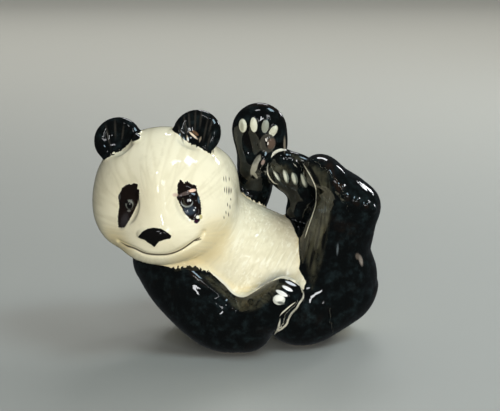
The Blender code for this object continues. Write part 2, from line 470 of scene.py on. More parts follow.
class Paint(Enum):
    """The painted layers, each a distance that the glaze material reads."""

    BLACK = "black_paint"
    BARE = "left_bare"
    OVER = "painted_over"
    PATCH = "eye_patches"
    NOSE = "nose_paint"
    # Thin black paint, lighter partly from a painted reflection of the room on flat sides.
    THIN = "thin_paint_and_sheen"
    PALE_SIDE = "pale_line_side"
    PALE_REACH = "pale_line_reach"
    INK_SIDE = "ink_side"
    INK_REACH = "ink_reach"
    TUFTS = "ragged_tufts"
    STAIN = "warm_stain"
    FUR = "combed_fur"
    HOLLOW = "glaze_pool"


@dataclass(frozen=True)
class Dab:
    """A small painted ellipse, in millimetres across and up in the picture.

    Attributes:
        at: Its middle.
        radii: Its two radii.
        tone: Its colour, as read off a screen.
        turn: Degrees that its top leans to the right.
        soft: How far its edge fades, in millimetres.
    """

    at: Pair
    radii: Pair
    tone: Triple
    turn: float = 0
    soft: float = 0.3

    def away(self, seen: np.ndarray) -> np.ndarray:
        """The distance of each place outside the dab, negative inside it."""
        lean = math.radians(self.turn)
        off = seen - np.array(self.at)
        local = np.column_stack([
            off[:, 0] * math.cos(lean) - off[:, 1] * math.sin(lean),
            off[:, 0] * math.sin(lean) + off[:, 1] * math.cos(lean),
        ])
        return (np.linalg.norm(local / np.array(self.radii), axis=1) - 1) * min(self.radii)


@dataclass(frozen=True)
class Limb:
    """What every part of the panda has: clay, fur and paint.

    Attributes:
        fur: How the part is combed.
        black: Whether the part is painted black.
    """

    fur: Comb = Comb((0, 0, 1))
    black: bool = True

    def steps(self) -> list[Mass | Stroke]:
        """The masses, hollows and strokes, in the order in which they are worked."""
        raise NotImplementedError

    def masses(self) -> list[Mass]:
        """The masses that are combed, and by which the ground is cream or black."""
        return [step for step in self.steps() if type(step) is Mass]

    def outlines(self) -> dict[Paint, list[Outline]]:
        """The painted outlines on the part's front."""
        return {}

    def lines(self) -> dict[Paint, list[Line]]:
        """The painted lines on the part's front, by the layer that holds their side."""
        return {}

    def dabs(self) -> list[Dab]:
        """The painted dabs on the part's front, the last on top."""
        return []

    def tufts(self) -> list[Ball]:
        """Where the paint's edge is brushed out into tufts."""
        return []


@dataclass(frozen=True)
class Trunk(Limb):
    """The belly and back, and the short tail.

    Attributes:
        spine: The roll that is the trunk.
        back: The broad back that the panda lies on.
        tail: The tail, low on the rump.
    """

    fur: Comb = Comb((0.5, 0, 0.87), pitch=2.4, run=20, height=0.13, seed=3)
    black: bool = False
    spine: Roll = Roll(((42, 5, 26.5, 26), (22, 5, 30, 28.5), (-4, 2, 41, 29.5), (-20, 0, 56, 26)))
    back: Ball = Ball((-5, 6, 21.3), (32, 22, 22.4))
    tail: Ball = Ball((60, 12, 26), (9, 6, 9), (0, 20, 0))

    def steps(self) -> list[Mass | Stroke]:
        """The masses of the trunk."""
        return [Mass((self.spine, self.back, self.tail), soft=4, join=4)]


@dataclass(frozen=True)
class Head(Limb):
    """The skull with its cheeks, muzzle and chin, and the ruff and throat behind them.

    Attributes:
        skull: The balls of the head, in its own axes.
        ruff: The balls behind the head and under the chin.
    """

    fur: Comb = FanComb((1, 0, 0), pitch=2.3, run=17, height=0.06, seed=7, middle=(0.5, 0, -12))
    black: bool = False
    skull: tuple[Ball, ...] = (
        Ball((0, 2, 2.5), (34, 30, 30.5), place=HEAD),
        Ball((16.5, -3, -9), (17.5, 19, 18), place=HEAD),
        Ball((-15.5, -3, -7.5), (17, 19, 17), place=HEAD),
        Ball((0, -17, -14), (17, 17, 11.5), place=HEAD),
        Ball((0.5, -18.5, 1), (7.5, 11, 17), place=HEAD),
        Ball((1.5, -14, -20.6), (18, 14, 9.9), place=HEAD),
    )
    ruff: tuple[Ball, ...] = (
        Ball((-14, -1, 78.5), (14.5, 15, 17), (0, 12, 0)),
        Ball((-16, -10, 59), (20, 19, 16), (0, 20, 0)),
    )

    def steps(self) -> list[Mass | Stroke]:
        """The masses of the head."""
        return [Mass(self.skull, soft=9, join=5), Mass(self.ruff, soft=6, join=7)]


@dataclass(frozen=True)
class Ears(Limb):
    """Two cupped ears with a fan of fur folds inside.

    Attributes:
        stand: How far to the side and how high each ear stands, from the head's middle.
        shell: The radii of an ear.
        cup: The radii of the hollow in an ear.
        folds: How far to the side each fur fold leans.
    """

    fur: Comb = Comb((0.25, 0.2, 1), pitch=2.4, run=11, height=0.015, seed=11)
    stand: tuple[Pair, ...] = ((-18.8, 28.8), (19.6, 29.5))
    shell: Triple = (11.6, 4.4, 11.2)
    cup: Triple = (9.2, 6, 9.2)
    folds: tuple[float, ...] = (-7, -4.2, -1.4, 1.4, 4.2, 7)

    def steps(self) -> list[Mass | Stroke]:
        """The shells, the cups pressed in them and the folds of fur."""
        tilt = (-18, 0, 0)
        shells = tuple(Ball((x, -5, z), self.shell, tilt, HEAD) for x, z in self.stand)
        cups = tuple(Ball((x, -11.5, z + 2.2), self.cup, tilt, HEAD) for x, z in self.stand)
        curl = Ball((-8.5, -9.5, 27.5), (2.4, 2.6, 4.5), (-15, -20, 0), HEAD)
        folds = [
            Stroke(
                ((x + lean * 0.5, -9, 21), (x + lean, -8, 31), (x + lean * 1.05, -9, 38)), 0.8, 0.22, HEAD
            )
            for x, _ in self.stand
            for lean in self.folds
        ]
        return [
            Mass(shells, soft=1, join=2.5),
            Hollow(cups, soft=1, join=1.5),
            Mass((curl,), soft=1, join=1.5),
            *folds,
        ]

    def dabs(self) -> list[Dab]:
        """The tuft of cream fur in the right ear, and grey streaks in both, a painted sheen along the fur
        folds.
        """
        return [
            Dab((-27.4, 36.4), (1.9, 0.7), (104, 78, 58), 40, soft=0.5),
            Dab((-28.4, 35.2), (2.7, 0.5), (226, 206, 182), 42, soft=0.35),
            Dab((-31.2, 33.4), (0.4, 1.6), (196, 180, 156), -10, soft=0.4),
            Dab((-24.9, 33.2), (0.4, 1.3), (150, 136, 116), 16, soft=0.4),
            # Grey streaks along the fur folds, a painted sheen.
            *(
                Dab((across, up), (0.45, long), (47, 45, 41), lean, soft=0.9)
                for across, up, long, lean in (
                    (-34.6, 36, 3.6, -16), (-32.4, 40.5, 4.4, -8), (-30.4, 43, 3.8, -4),
                    (-27.4, 42.6, 4.6, 2), (-24.6, 43.4, 3.6, 6), (-22.2, 38, 4.6, 12),
                    (-19.6, 40, 3.4, 16), (-20.4, 33, 2.8, 14), (-71, 35, 4.4, -12),
                    (-67.4, 38.6, 3.6, -2), (-63.6, 36.4, 3.2, 8),
                )
            ),
        ]

    def tufts(self) -> list[Ball]:
        """The lower edges of the ears."""
        return [Ball((x, -6, 20), (14, 9, 4), place=HEAD) for x, _ in self.stand]


@dataclass(frozen=True)
class Eye:
    """One eye, in the head's axes.

    Attributes:
        at: The middle of the eyeball.
        lean: How far the socket leans, in degrees.
    """

    at: Triple
    lean: float

    def steps(self) -> list[Mass | Stroke]:
        """The socket, the eyeball and the two lids."""
        x, y, z = self.at
        return [
            Hollow((Ball((x, y - 3.4, z - 1), (4.6, 3, 7.6), (0, self.lean, 0), HEAD),), soft=1, join=2),
            Mass((Ball((x, y, z), (2.9, 2.7, 2.9), place=HEAD),), soft=1, join=0.5),
            Stroke(((x - 3.6, y, z + 1.6), (x, y, z + 3.2), (x + 3.6, y, z + 1.8)), 0.8, -0.9, HEAD),
            Stroke(((x - 3.2, y, z - 1.4), (x, y, z - 3), (x + 3.2, y, z - 1.2)), 0.7, -0.5, HEAD),
        ]


@dataclass(frozen=True)
class Face(Limb):
    """The eyes with their patches, the nose and the smile.

    Attributes:
        eyes: The left and the right eye.
        nose_forms: The balls of the nose.
        smile: The mouth's line, in the head's axes.
        patches: The painted patches round the eyes.
        nose: The painted nose.
        mouth: The painted mouth and the creases at its corners.
        lashes: The ticks behind the cheek: how far across each is, and its top and bottom.
    """

    eyes: tuple[Eye, ...] = (Eye((-12.3, -24.3, 0.8), 14), Eye((15, -23.6, 0.3), -12))
    nose_forms: tuple[Ball, ...] = (
        Ball((-0.6, -31, -13), (8.6, 4.6, 3.7), place=HEAD),
        Ball((-0.8, -30.6, -16), (3.8, 4, 3.6), place=HEAD),
    )
    smile: tuple[Triple, ...] = (
        (-20.3, -21, -17.5),
        (-11.7, -28, -19.8),
        (-6.2, -29, -22.6),
        (0.9, -30, -23.7),
        (6.1, -29, -23.2),
        (13.6, -27, -20.3),
        (19.1, -24, -17.6),
        (20.8, -23, -15.5),
    )
    patches: tuple[Outline, ...] = (
        Outline((
            (-36.3, 6.7), (-36.4, 10), (-35.7, 11.6), (-34.8, 13.4), (-33, 11.3), (-31.5, 12.5),
            (-29.5, 10.9), (-27.8, 10.6), (-26.7, 9.7), (-26.5, 7.5), (-25.6, 4.8), (-24.8, 2.3),
            (-24.4, -0.7), (-24.3, -3.5), (-25.1, -7.6), (-26.9, -8.9), (-27.8, -7.3), (-29.2, -7.1),
            (-30.6, -6.2), (-32.7, -3.5), (-34.4, -0.7), (-36, 2.6), (-36.7, 4),
        )),
        Outline((
            (-66, 4.7), (-65.2, 6), (-63.9, 9), (-62, 10.3), (-60.4, 10.8), (-59.3, 10.6), (-57.9, 11.4),
            (-56.2, 10.8), (-56, 9.6), (-56.6, 8.6), (-55.2, 8), (-55.3, 5.8), (-55.5, 3), (-56.6, 0),
            (-57.9, -2.7), (-59.6, -6), (-61.5, -9), (-62.6, -10.8), (-64.5, -11.2), (-65.8, -10.6),
            (-66.1, -7.1), (-66, -4.1), (-65.4, -0.5), (-65.6, 2.5),
        )),
    )
    nose: Outline = Outline((
        (-56.2, -15.7), (-53.6, -12.7), (-51.2, -11.5), (-48.3, -11), (-44.3, -11.5), (-41.1, -13.5),
        (-39.3, -15), (-39.8, -16.5), (-42.5, -17), (-45.5, -18), (-46.8, -19.5), (-47.8, -20.8),
        (-49.2, -19.6), (-51, -18.5), (-52.7, -17.1), (-54.8, -16.5),
    ))
    mouth: tuple[Line, ...] = (
        Line((
            (-65.2, -17.8), (-61.7, -19.9), (-57.7, -21.3), (-53.6, -23.3), (-50.1, -24.2), (-45.5, -24.5),
            (-40.8, -24.2), (-36.2, -22.8), (-32.1, -20.5), (-28, -17.5), (-24.6, -15.5), (-23.5, -14.7),
        ), taper=5),
        Line(((-28.4, -17.9), (-26.2, -17.2), (-23.8, -16.7)), width=0.7, taper=1.5),
    )
    lashes: tuple[Triple, ...] = (
        (-13.1, 14.6, 12.2), (-12, 14.8, 11.9), (-10.4, 14.4, 12.4), (-12.7, 9.2, 6.6), (-11.7, 9.4, 5.9),
        (-10.8, 9.3, 5.7), (-10.1, 9.1, 5.8), (-9.4, 8.9, 6.4), (-9.6, 3.8, 2.6), (-11.2, 1.4, -0.4),
        (-10, 0.4, -1.6), (-12, -2.6, -4.2), (-10.7, -3.4, -5.4), (-13, -5.2, -6.6),
    )

    def steps(self) -> list[Mass | Stroke]:
        """The eyes in their sockets, the nose and the smile."""
        eyes = [step for eye in self.eyes for step in eye.steps()]
        nose = Mass(self.nose_forms, soft=2, join=0.8)
        return [*eyes, nose, Stroke(self.smile, width=1.1, depth=1.2, place=HEAD)]

    def masses(self) -> list[Mass]:
        """None, because the head under the face is combed and glazed as one."""
        return []

    def outlines(self) -> dict[Paint, list[Outline]]:
        """The eye patches and the nose."""
        return {Paint.PATCH: list(self.patches), Paint.NOSE: [self.nose]}

    def lines(self) -> dict[Paint, list[Line]]:
        """The mouth."""
        return {Paint.INK_SIDE: list(self.mouth)}

    def dabs(self) -> list[Dab]:
        """The lids, the irises, the painted glints, highlights and reflections in the patches, and the
        ticks.
        """
        right = [
            Dab((-37.4, 5.4), (1.3, 0.9), (206, 184, 166), soft=0.9),
            # A painted blue-grey reflection on the right patch's bulging lower part.
            Dab((-30.3, -2.2), (3, 2.4), (48, 57, 68), soft=1.8),
            Dab((-26.9, -7.9), (1.2, 1), (42, 18, 36), soft=0.6),
            Dab((-32.6, 6), (3.4, 0.9), (88, 76, 72), -22, soft=0.6),
            # A pinkish painted highlight on the upper lid.
            Dab((-28.8, 7.6), (1.8, 0.8), (232, 198, 176), -10, soft=0.4),
            Dab((-30.8, 4.5), (4.7, 0.55), (10, 8, 8), soft=0.5),
            Dab((-31.5, 1.5), (3, 2.35), (146, 152, 152), soft=0.4),
            Dab((-31.5, 2.15), (2.8, 2.2), (20, 14, 12), soft=0.4),
            # Two painted glints on the eyeball.
            Dab((-29.9, 2.7), (0.4, 0.6), (236, 238, 240), soft=0.25),
            Dab((-31, 2.6), (0.4, 0.7), (176, 178, 180), soft=0.25),
            # A painted bluish reflection at the eye's right.
            Dab((-25.6, 2.9), (0.5, 1.7), (70, 88, 98), -8, soft=0.4),
            # Two painted specks of highlight low in the patch.
            Dab((-27.3, -1), (0.35, 0.35), (200, 202, 206), soft=0.2),
            Dab((-28, -2.2), (0.45, 0.45), (222, 226, 228), soft=0.2),
            Dab((-24.7, -5.6), (1, 1.1), (190, 180, 128), soft=0.3),
            Dab((-26.1, -5.7), (0.9, 0.85), (238, 236, 218), soft=0.3),
        ]
        left = [
            # A painted grey reflection on the left patch's lower part.
            Dab((-62.8, -7.4), (1.7, 3.6), (46, 43, 44), 20, soft=2.4),
            Dab((-65.2, 4.4), (0.6, 1.5), (58, 58, 56), soft=0.5),
            Dab((-60.3, 0.7), (1.95, 2.35), (112, 116, 108), soft=0.5),
            Dab((-60.2, 0.1), (1.45, 1.75), (9, 8, 8), soft=0.4),
            Dab((-61.7, 1.9), (0.8, 0.9), (16, 13, 12), soft=0.6),
            # A small painted glint between pupil and ring.
            Dab((-60.1, 0.9), (0.4, 0.35), (104, 108, 102), soft=0.3),
            Dab((-60.5, -2.5), (0.8, 0.6), (108, 108, 104), soft=0.5),
        ]
        ticks = [
            Dab((x, (top + bottom) / 2), (0.2, (top - bottom) / 2), (66, 56, 50), -4, soft=0.25)
            for x, top, bottom in self.lashes
        ]
        return [*right, *left, *ticks]


@dataclass(frozen=True)
class NearArm(Limb):
    """The arm that rests on its elbow, with the paw and its claws on the belly.

    Attributes:
        upper: The roll from the shoulder to the elbow.
        fore: The roll from the elbow to the paw.
        claws: The four claws.
    """

    fur: Comb = Comb((0.75, -0.1, -0.6), pitch=2.6, run=16, height=0.03, seed=17)
    upper: Roll = Roll((
        (-35, -12, 43, 16.5), (-25, -18, 32, 18), (-9, -22, 17.2, 17.2), (4, -24.5, 13.5, 14.2)
    ))
    fore: Roll = Roll(((2, -27, 16, 13), (13, -33, 23, 11), (23, -36, 32, 9)))
    claws: tuple[Ball, ...] = (
        Ball((20.2, -43.6, 32.3), (3.2, 1.7, 2.3), (0, -12, 0)),
        Ball((22.2, -43.2, 35.8), (2.9, 1.6, 1.5), (0, -8, 0)),
        Ball((24.3, -41.7, 38.2), (2.7, 1.6, 1.3), (-20, -4, 0)),
        Ball((26.2, -39.6, 39.8), (2.4, 1.6, 1.2), (-35, 0, 0)),
    )

    def steps(self) -> list[Mass | Stroke]:
        """The arm with the ridge along it, the crook of the elbow and the claws."""
        ridge = Stroke(((-24, -30, 44), (-13.5, -36, 36.5), (-6, -37, 31.5), (-2, -38, 26.5)), 2, -1.1)
        elbow = Stroke(((-4, -36, 30), (1, -38, 27.5), (5, -40, 29)), 2.6, 1.1)
        limb = Mass((self.upper, self.fore), soft=4, join=2)
        return [limb, ridge, elbow, Mass(self.claws, soft=0.4, join=0.6)]

    def outlines(self) -> dict[Paint, list[Outline]]:
        """The thinly painted top of the forearm, lighter partly from a painted reflection, and the cream
        that the paint stops at.
        """
        top = Outline((
            (-25, -34.2), (-19, -35.2), (-14, -40.2), (-8.5, -45.5), (-3, -46.8), (3, -44.2), (9, -39.8),
            (14.5, -37.8), (18, -39.2), (14, -43.2), (9, -48.2), (4, -51.8), (-2.5, -53.2), (-8, -51.2),
            (-12, -46.8), (-17, -42.2), (-21, -38.2),
        ))
        bare = Outline((
            (-47.5, -29), (-39, -31), (-34, -30.8), (-29.5, -30.4), (-25.5, -31.2), (-20, -33.3),
            (-16.5, -36.2), (-13, -39.3), (-8, -44.4), (-3, -45.8), (2.5, -42.8), (9.5, -38.2),
            (15.5, -36.2), (20.5, -37.2), (25, -40.2), (26.2, -43.8), (28, -38), (20, -24), (0, -20),
            (-40, -24),
        ))
        return {Paint.THIN: [top], Paint.BARE: [bare]}

    def lines(self) -> dict[Paint, list[Line]]:
        """The cream lines left between the paw and the leg, and the pale rim along the arm."""
        paw = Line(((23.1, -47.9), (20.3, -50), (17.6, -52.3), (15.8, -53.9), (14.7, -55.6)), width=0.8)
        heel = Line(((15.2, -56.3), (14.7, -58.9), (14.1, -61.4), (12.8, -63.6), (11.9, -65)), width=1.3)
        leg = Line((
            (26.8, -42.5), (26.5, -46.1), (24.5, -49), (23.4, -51.2), (20.9, -53.8), (19.4, -56.3),
            (18.5, -58.9), (16.5, -61), (13.4, -63.4),
        ), width=1.2)
        rim = Line((
            (-20, -32.7), (-13, -38.6), (-8, -43.8), (-3, -45.1), (2.5, -42.1), (9.5, -37.6), (15.5, -35.6),
            (20.5, -36.6), (24.8, -39.6),
        ), width=1.6, taper=6)
        return {Paint.PALE_SIDE: [paw, heel, leg, rim]}

    def dabs(self) -> list[Dab]:
        """The ivory claws, with painted highlights on them and painted shade under the first."""
        return [
            Dab((14.5, -47), (3.05, 2.6), (206, 209, 198), soft=0.25),
            # A painted highlight in the first claw's middle, then painted shade under it.
            Dab((14.5, -46.4), (2.3, 1.6), (242, 243, 232), soft=0.8),
            Dab((15.4, -48.6), (1.7, 0.7), (112, 116, 110), 12, soft=0.6),
            Dab((15.9, -43.8), (3.2, 1.05), (240, 242, 238), 27, soft=0.25),
            Dab((18.7, -41.4), (2.85, 0.85), (240, 242, 242), 27, soft=0.25),
            # The fourth claw is a bluish painted highlight over ivory.
            Dab((20.4, -38.9), (2.8, 0.65), (214, 219, 226), 24, soft=0.25),
        ]

    def tufts(self) -> list[Ball]:
        """The top of the shoulder, where the fur stands up."""
        return [Ball((-19, -30, 46), (11, 10, 6))]


@dataclass(frozen=True)
class FarArm(Limb):
    """The raised arm with its open paw, the palm and its pads towards the viewer.

    Attributes:
        arm: The roll from the shoulder to the wrist.
        paw: The two balls of the paw.
        wrist: The fold at the wrist.
        palm: The hollow of the palm.
        pads: The four toe pads and the main pad.
    """

    fur: Comb = Comb((0.1, 0, 1), pitch=2.4, run=14, height=0.04, seed=23)
    arm: Roll = Roll(((-4, 20, 60, 17), (8, 17, 73, 10), (9.5, 12, 88, 9.5)))
    paw: tuple[Ball, ...] = (Ball((11.2, 9, 104), (13.7, 6.5, 13.5)), Ball((12.6, 9, 96), (12.6, 6.5, 11)))
    wrist: Roll = Roll(((6, 8, 84, 4), (10, 3, 87, 4.5), (13, 2, 90, 3.5)))
    palm: Ball = Ball((6.2, -0.4, 97), (4.8, 5, 8.2), (0, -6, 0))
    pads: tuple[Ball, ...] = (
        Ball((2.9, 4.4, 106.7), (2.1, 1.5, 3.3), (0, -6, 0)),
        Ball((8.3, 3.4, 107.6), (2.1, 1.5, 3.4)),
        Ball((13.9, 3.2, 106.8), (2.1, 1.5, 3.3), (0, 14, 0)),
        Ball((17.9, 3.6, 104.3), (2.0, 1.5, 3.2), (0, 32, 0)),
        Ball((14.7, 2.8, 98.6), (4.4, 2, 4.8), (0, 14, 0)),
    )

    def steps(self) -> list[Mass | Stroke]:
        """The arm and paw, the palm pressed in it and its pads."""
        limb = Mass((self.arm, *self.paw, self.wrist), soft=4, join=2)
        return [limb, Hollow((self.palm,), soft=1, join=2), Mass(self.pads, soft=0.4, join=0.6)]

    def outlines(self) -> dict[Paint, list[Outline]]:
        """The thinly painted side of the paw, lighter partly from a painted reflection."""
        side = Outline((
            (-8.3, 37), (-6.6, 36), (-6.2, 30), (-4.6, 21), (-2, 13), (-4.8, 16.8), (-6.8, 22.8),
            (-7.8, 30.2),
        ))
        return {Paint.THIN: [side]}

    def dabs(self) -> list[Dab]:
        """The palm, the pads and the lobe at the wrist, with painted shade on the first pad and painted
        highlights on the main pad, on the lobe's rims and down the paw's right side.
        """
        toes = (
            ((-3.6, 40.05), (1.95, 3.35), (206, 206, 186), -4),
            ((1.9, 40.45), (1.75, 3.7), (212, 212, 192), -5),
            ((7.65, 39.7), (1.8, 3.3), (146, 150, 138), 8),
            ((11.65, 37.2), (1.7, 3.25), (200, 200, 180), 32),
        )
        return [
            Dab((1, 34), (5, 6.5), (9, 8, 7), -12, soft=2),
            *(Dab(at, radii, shade, turn, soft=0.25) for at, radii, shade, turn in toes),
            # Painted shade on the first pad's left side.
            Dab((-4, 39.6), (0.9, 2.6), (150, 150, 134), -4, soft=0.8),
            Dab((8.7, 31.2), (3.9, 4.8), (62, 60, 54), 8, soft=0.6),
            Dab((10.6, 31), (2, 2.6), (92, 76, 65), 20, soft=1),
            Dab((8.2, 31.4), (0.6, 2.4), (16, 14, 13), -10, soft=0.5),
            # Painted highlights on the main pad.
            Dab((8.1, 32.9), (0.4, 0.8), (228, 222, 212), -10, soft=0.25),
            Dab((9, 31.1), (0.35, 0.8), (206, 198, 188), 10, soft=0.25),
            # The lobe: a pale crescent on its left rim and a pinkish spot on its right are painted
            # highlights, with the black dark inside.
            Dab((2.8, 20.4), (1.6, 5.4), (150, 148, 136), 24, soft=0.5),
            Dab((4.9, 19.4), (1.2, 3.6), (14, 13, 12), 12, soft=0.5),
            Dab((2.3, 15.6), (0.8, 2.4), (150, 148, 134), -38, soft=0.4),
            Dab((6.5, 21.7), (0.8, 1.4), (140, 122, 112), 20, soft=0.5),
            # A brownish painted highlight streak down the paw's right side.
            Dab((17.3, 30.5), (0.5, 3.6), (120, 112, 98), soft=0.5),
        ]

    def tufts(self) -> list[Ball]:
        """The foot of the arm, where the cream fur overlaps it."""
        return [Ball((6, 10, 71), (12, 10, 8))]


@dataclass(frozen=True)
class NearLeg(Limb):
    """The haunch, and the leg that stands up from it with its foot turned away.

    Attributes:
        leg: The roll from the haunch to the ankle.
        haunch: The two balls low on the rump, and one between the legs.
        foot: The three balls of the foot.
        toes: The small balls along the sole's rim.
        edge: The leg's edge, as it is seen.
    """

    fur: Comb = Comb((0.12, 0, 1), pitch=2.8, run=18, height=0.05, seed=29)
    leg: Roll = Roll((
        (46.8, -4, 29.5, 24.5), (48, -8, 46, 18.5), (51.5, -12, 61, 16.5), (53.5, -12, 70, 14)
    ))
    haunch: tuple[Ball, ...] = (
        Ball((36, -10, 20.3), (21.5, 22, 20.5)),
        Ball((30, -14, 18), (18, 16, 18.5)),
        Ball((40.5, 0.5, 59), (7, 8, 10)),
    )
    foot: tuple[Ball, ...] = (
        Ball((51, -13, 79.4), (20, 14.5, 8.6), (0, 38, 0)),
        Ball((41, -12, 87), (8.5, 12, 8), (0, 10, 0)),
        Ball((62.5, -12, 69.5), (7, 11, 8.5), (0, 10, 0)),
    )
    toes: tuple[Ball, ...] = (
        Ball((49.9, -26.7, 81.7), (2.4, 2.5, 2.7)),
        Ball((52.6, -26.8, 77.9), (2.5, 2.6, 2.5)),
        Ball((57, -26.3, 75.7), (2.5, 2.6, 2.4)),
        Ball((62, -24.9, 73.3), (2.4, 2.6, 2.3)),
        Ball((65.2, -23.4, 71), (2.1, 2.4, 2.1)),
    )
    edge: tuple[Pair, ...] = (
        (26.2, 21.6), (29.3, 16.5), (32.2, 10.8), (33.1, 6.8), (32.8, 0.5), (31.1, -5.1),
        (29.1, -10.8), (27.3, -16.5),
    )

    def steps(self) -> list[Mass | Stroke]:
        """The leg and foot, the flat stroke down its front and the rim of its sole."""
        facet = Stroke(
            ((40, -22, 90), (41.5, -24, 80), (42, -24, 71), (39.5, -24, 61), (37, -23, 50), (35, -26, 38)),
            width=3.4,
            depth=1,
        )
        sole = Stroke(
            (
                (43.9, -23, 90.5), (47, -25, 85), (51, -26, 79.5), (57, -26, 75), (61.6, -25, 73.5),
                (66, -23, 71),
            ),
            width=2,
            depth=-1.4,
        )
        limb = Mass((self.leg, *self.haunch, *self.foot), soft=5, join=1.2)
        return [limb, facet, sole, Mass(self.toes, soft=0.5, join=1)]

    def outlines(self) -> dict[Paint, list[Outline]]:
        """The thinly painted flat down the leg's front, lighter partly from a painted reflection."""
        right = (
            (28, -28.2), (31, -42.2), (35.6, -30.1), (38.4, -15.9), (40.2, -6.2), (41, 0.5), (41.3, 6.8),
            (39.6, 13), (38.8, 18.2), (32.2, 20.5),
        )
        return {Paint.THIN: [Outline((*self.edge, *right))]}

    def lines(self) -> dict[Paint, list[Line]]:
        """The pale line along the leg's edge."""
        return {Paint.PALE_SIDE: [Line(self.edge, width=0.65)]}

    def dabs(self) -> list[Dab]:
        """The full strokes over the thin paint, and two painted reflections on the rump: a bluish streak and
        a brownish spot.
        """
        strokes = (
            ((31.8, 15), (1.2, 6.5), -26), ((34.9, 9), (0.7, 6), -14), ((35.2, -9), (0.5, 7), 8),
            ((33, -20), (0.6, 7), 11), ((37.6, -1), (0.4, 6), 4), ((30.8, -27), (0.7, 5), 10),
            ((37, -17), (0.9, 6), 9), ((39, 7), (0.5, 5), 0), ((29.6, -18), (0.5, 5), 10),
        )
        return [
            *(Dab(at, radii, (10, 11, 10), turn, soft=0.9) for at, radii, turn in strokes),
            # Painted reflections on the rump: a bluish streak, then a brownish spot.
            Dab((43.8, -21.8), (0.45, 2.3), (88, 96, 100), 4, soft=0.7),
            Dab((54, -25.4), (1.1, 1.6), (92, 84, 76), -20, soft=1),
            Dab((55.5, -27.4), (0.8, 2.4), (128, 120, 112), -12, soft=0.8),
        ]


@dataclass(frozen=True)
class FarLeg(Limb):
    """The leg behind the belly, with its foot against the far paw's wrist.

    Attributes:
        leg: The roll from the hip to the ankle.
        groin: The fold between the leg and the belly.
        foot: The ball of the foot.
        toes: The ball of the toes.
        pads: The four pads.
    """

    fur: Comb = Comb((0.1, 0, 1), pitch=2.4, run=14, height=0.06, seed=31)
    leg: Roll = Roll(((42, 18, 38, 18), (39, 15, 56, 12), (36.5, 12, 70, 9.5)))
    groin: Ball = Ball((29.4, 10, 60.3), (4.5, 6, 8))
    foot: Ball = Ball((29, 7, 81.5), (15, 6, 12), (20, 25, 0))
    toes: Ball = Ball((23, 5.5, 89.5), (8, 5.5, 5.5), (20, 12, 0))
    pads: tuple[Ball, ...] = (
        Ball((19.7, 3.8, 81.4), (1.7, 1.5, 3.1), (0, -18, 0)),
        Ball((24.4, 2.2, 81.2), (1.8, 1.5, 3.1), (0, -18, 0)),
        Ball((28.9, 1.5, 80.7), (1.8, 1.5, 3.1), (0, -18, 0)),
        Ball((33.4, 1.5, 79.6), (1.8, 1.5, 3.1), (0, -18, 0)),
    )

    def steps(self) -> list[Mass | Stroke]:
        """The leg and foot, its toes and its pads."""
        return [
            Mass((self.leg, self.groin, self.foot), soft=5, join=1.2),
            Mass((self.toes,), soft=1, join=0.8),
            Mass(self.pads, soft=0.4, join=0.6),
        ]

    def outlines(self) -> dict[Paint, list[Outline]]:
        """The thinly painted band over the pads and the instep, lighter partly from a painted reflection,
        and the paint's border on the belly.
        """
        band = ((10, 21.2), (19, 20.8), (21.5, 17.2), (21.5, 15.2), (15, 16.8), (10.5, 16.2))
        instep = ((19, 26.8), (27, 24.2), (26.5, 21.8), (23, 21.8), (20.5, 24.2))
        border = (
            (17.5, -5.3), (20, -7.3), (21.8, -11), (23.4, -14.8), (24.9, -17.3), (25.8, -22), (26.4, -27.3),
            (33, -27), (33, -5), (22, 4),
        )
        return {Paint.THIN: [Outline(points) for points in (band, instep)], Paint.OVER: [Outline(border)]}

    def lines(self) -> dict[Paint, list[Line]]:
        """The pale rims of the foot."""
        return {
            Paint.PALE_SIDE: [
                Line(((10.4, 23.8), (12.2, 26.4), (15, 27.8), (18.8, 28)), width=1.7),
                Line(((9.1, 21.6), (8.7, 17.1), (9.9, 13.9), (12.2, 11.3), (14.4, 10.8)), width=0.8),
                Line(((21.4, 21.4), (23.8, 19)), width=0.7),
            ]
        }

    def dabs(self) -> list[Dab]:
        """The four pads, grey in painted shade and pale in painted light on their upper left side."""
        pads = (
            ((13.5, 14.7), (0.8, 2.9), -32), ((18, 14.5), (1.3, 3.3), -15), ((22.3, 13.4), (1.5, 3.1), -15),
            ((27, 12.4), (1.3, 3.4), -18),
        )
        # The pads in painted shade.
        grey = [Dab(at, radii, (116, 122, 111), turn, soft=0.4) for at, radii, turn in pads]
        # Their lit upper left side, in a pale painted light.
        pale = [
            Dab((x - 0.4, y + 0.3), (across * 0.55, along * 0.85), (206, 208, 192), turn, soft=0.5)
            for (x, y), (across, along), turn in pads
        ]
        return [*grey, *pale]


def selected_alone(obj: bpy.types.Object) -> None:
    """Deselects everything and makes this object the only selected and active one."""
    bpy.ops.object.select_all(action="DESELECT")
    obj.select_set(True)
    bpy.context.view_layer.objects.active = obj


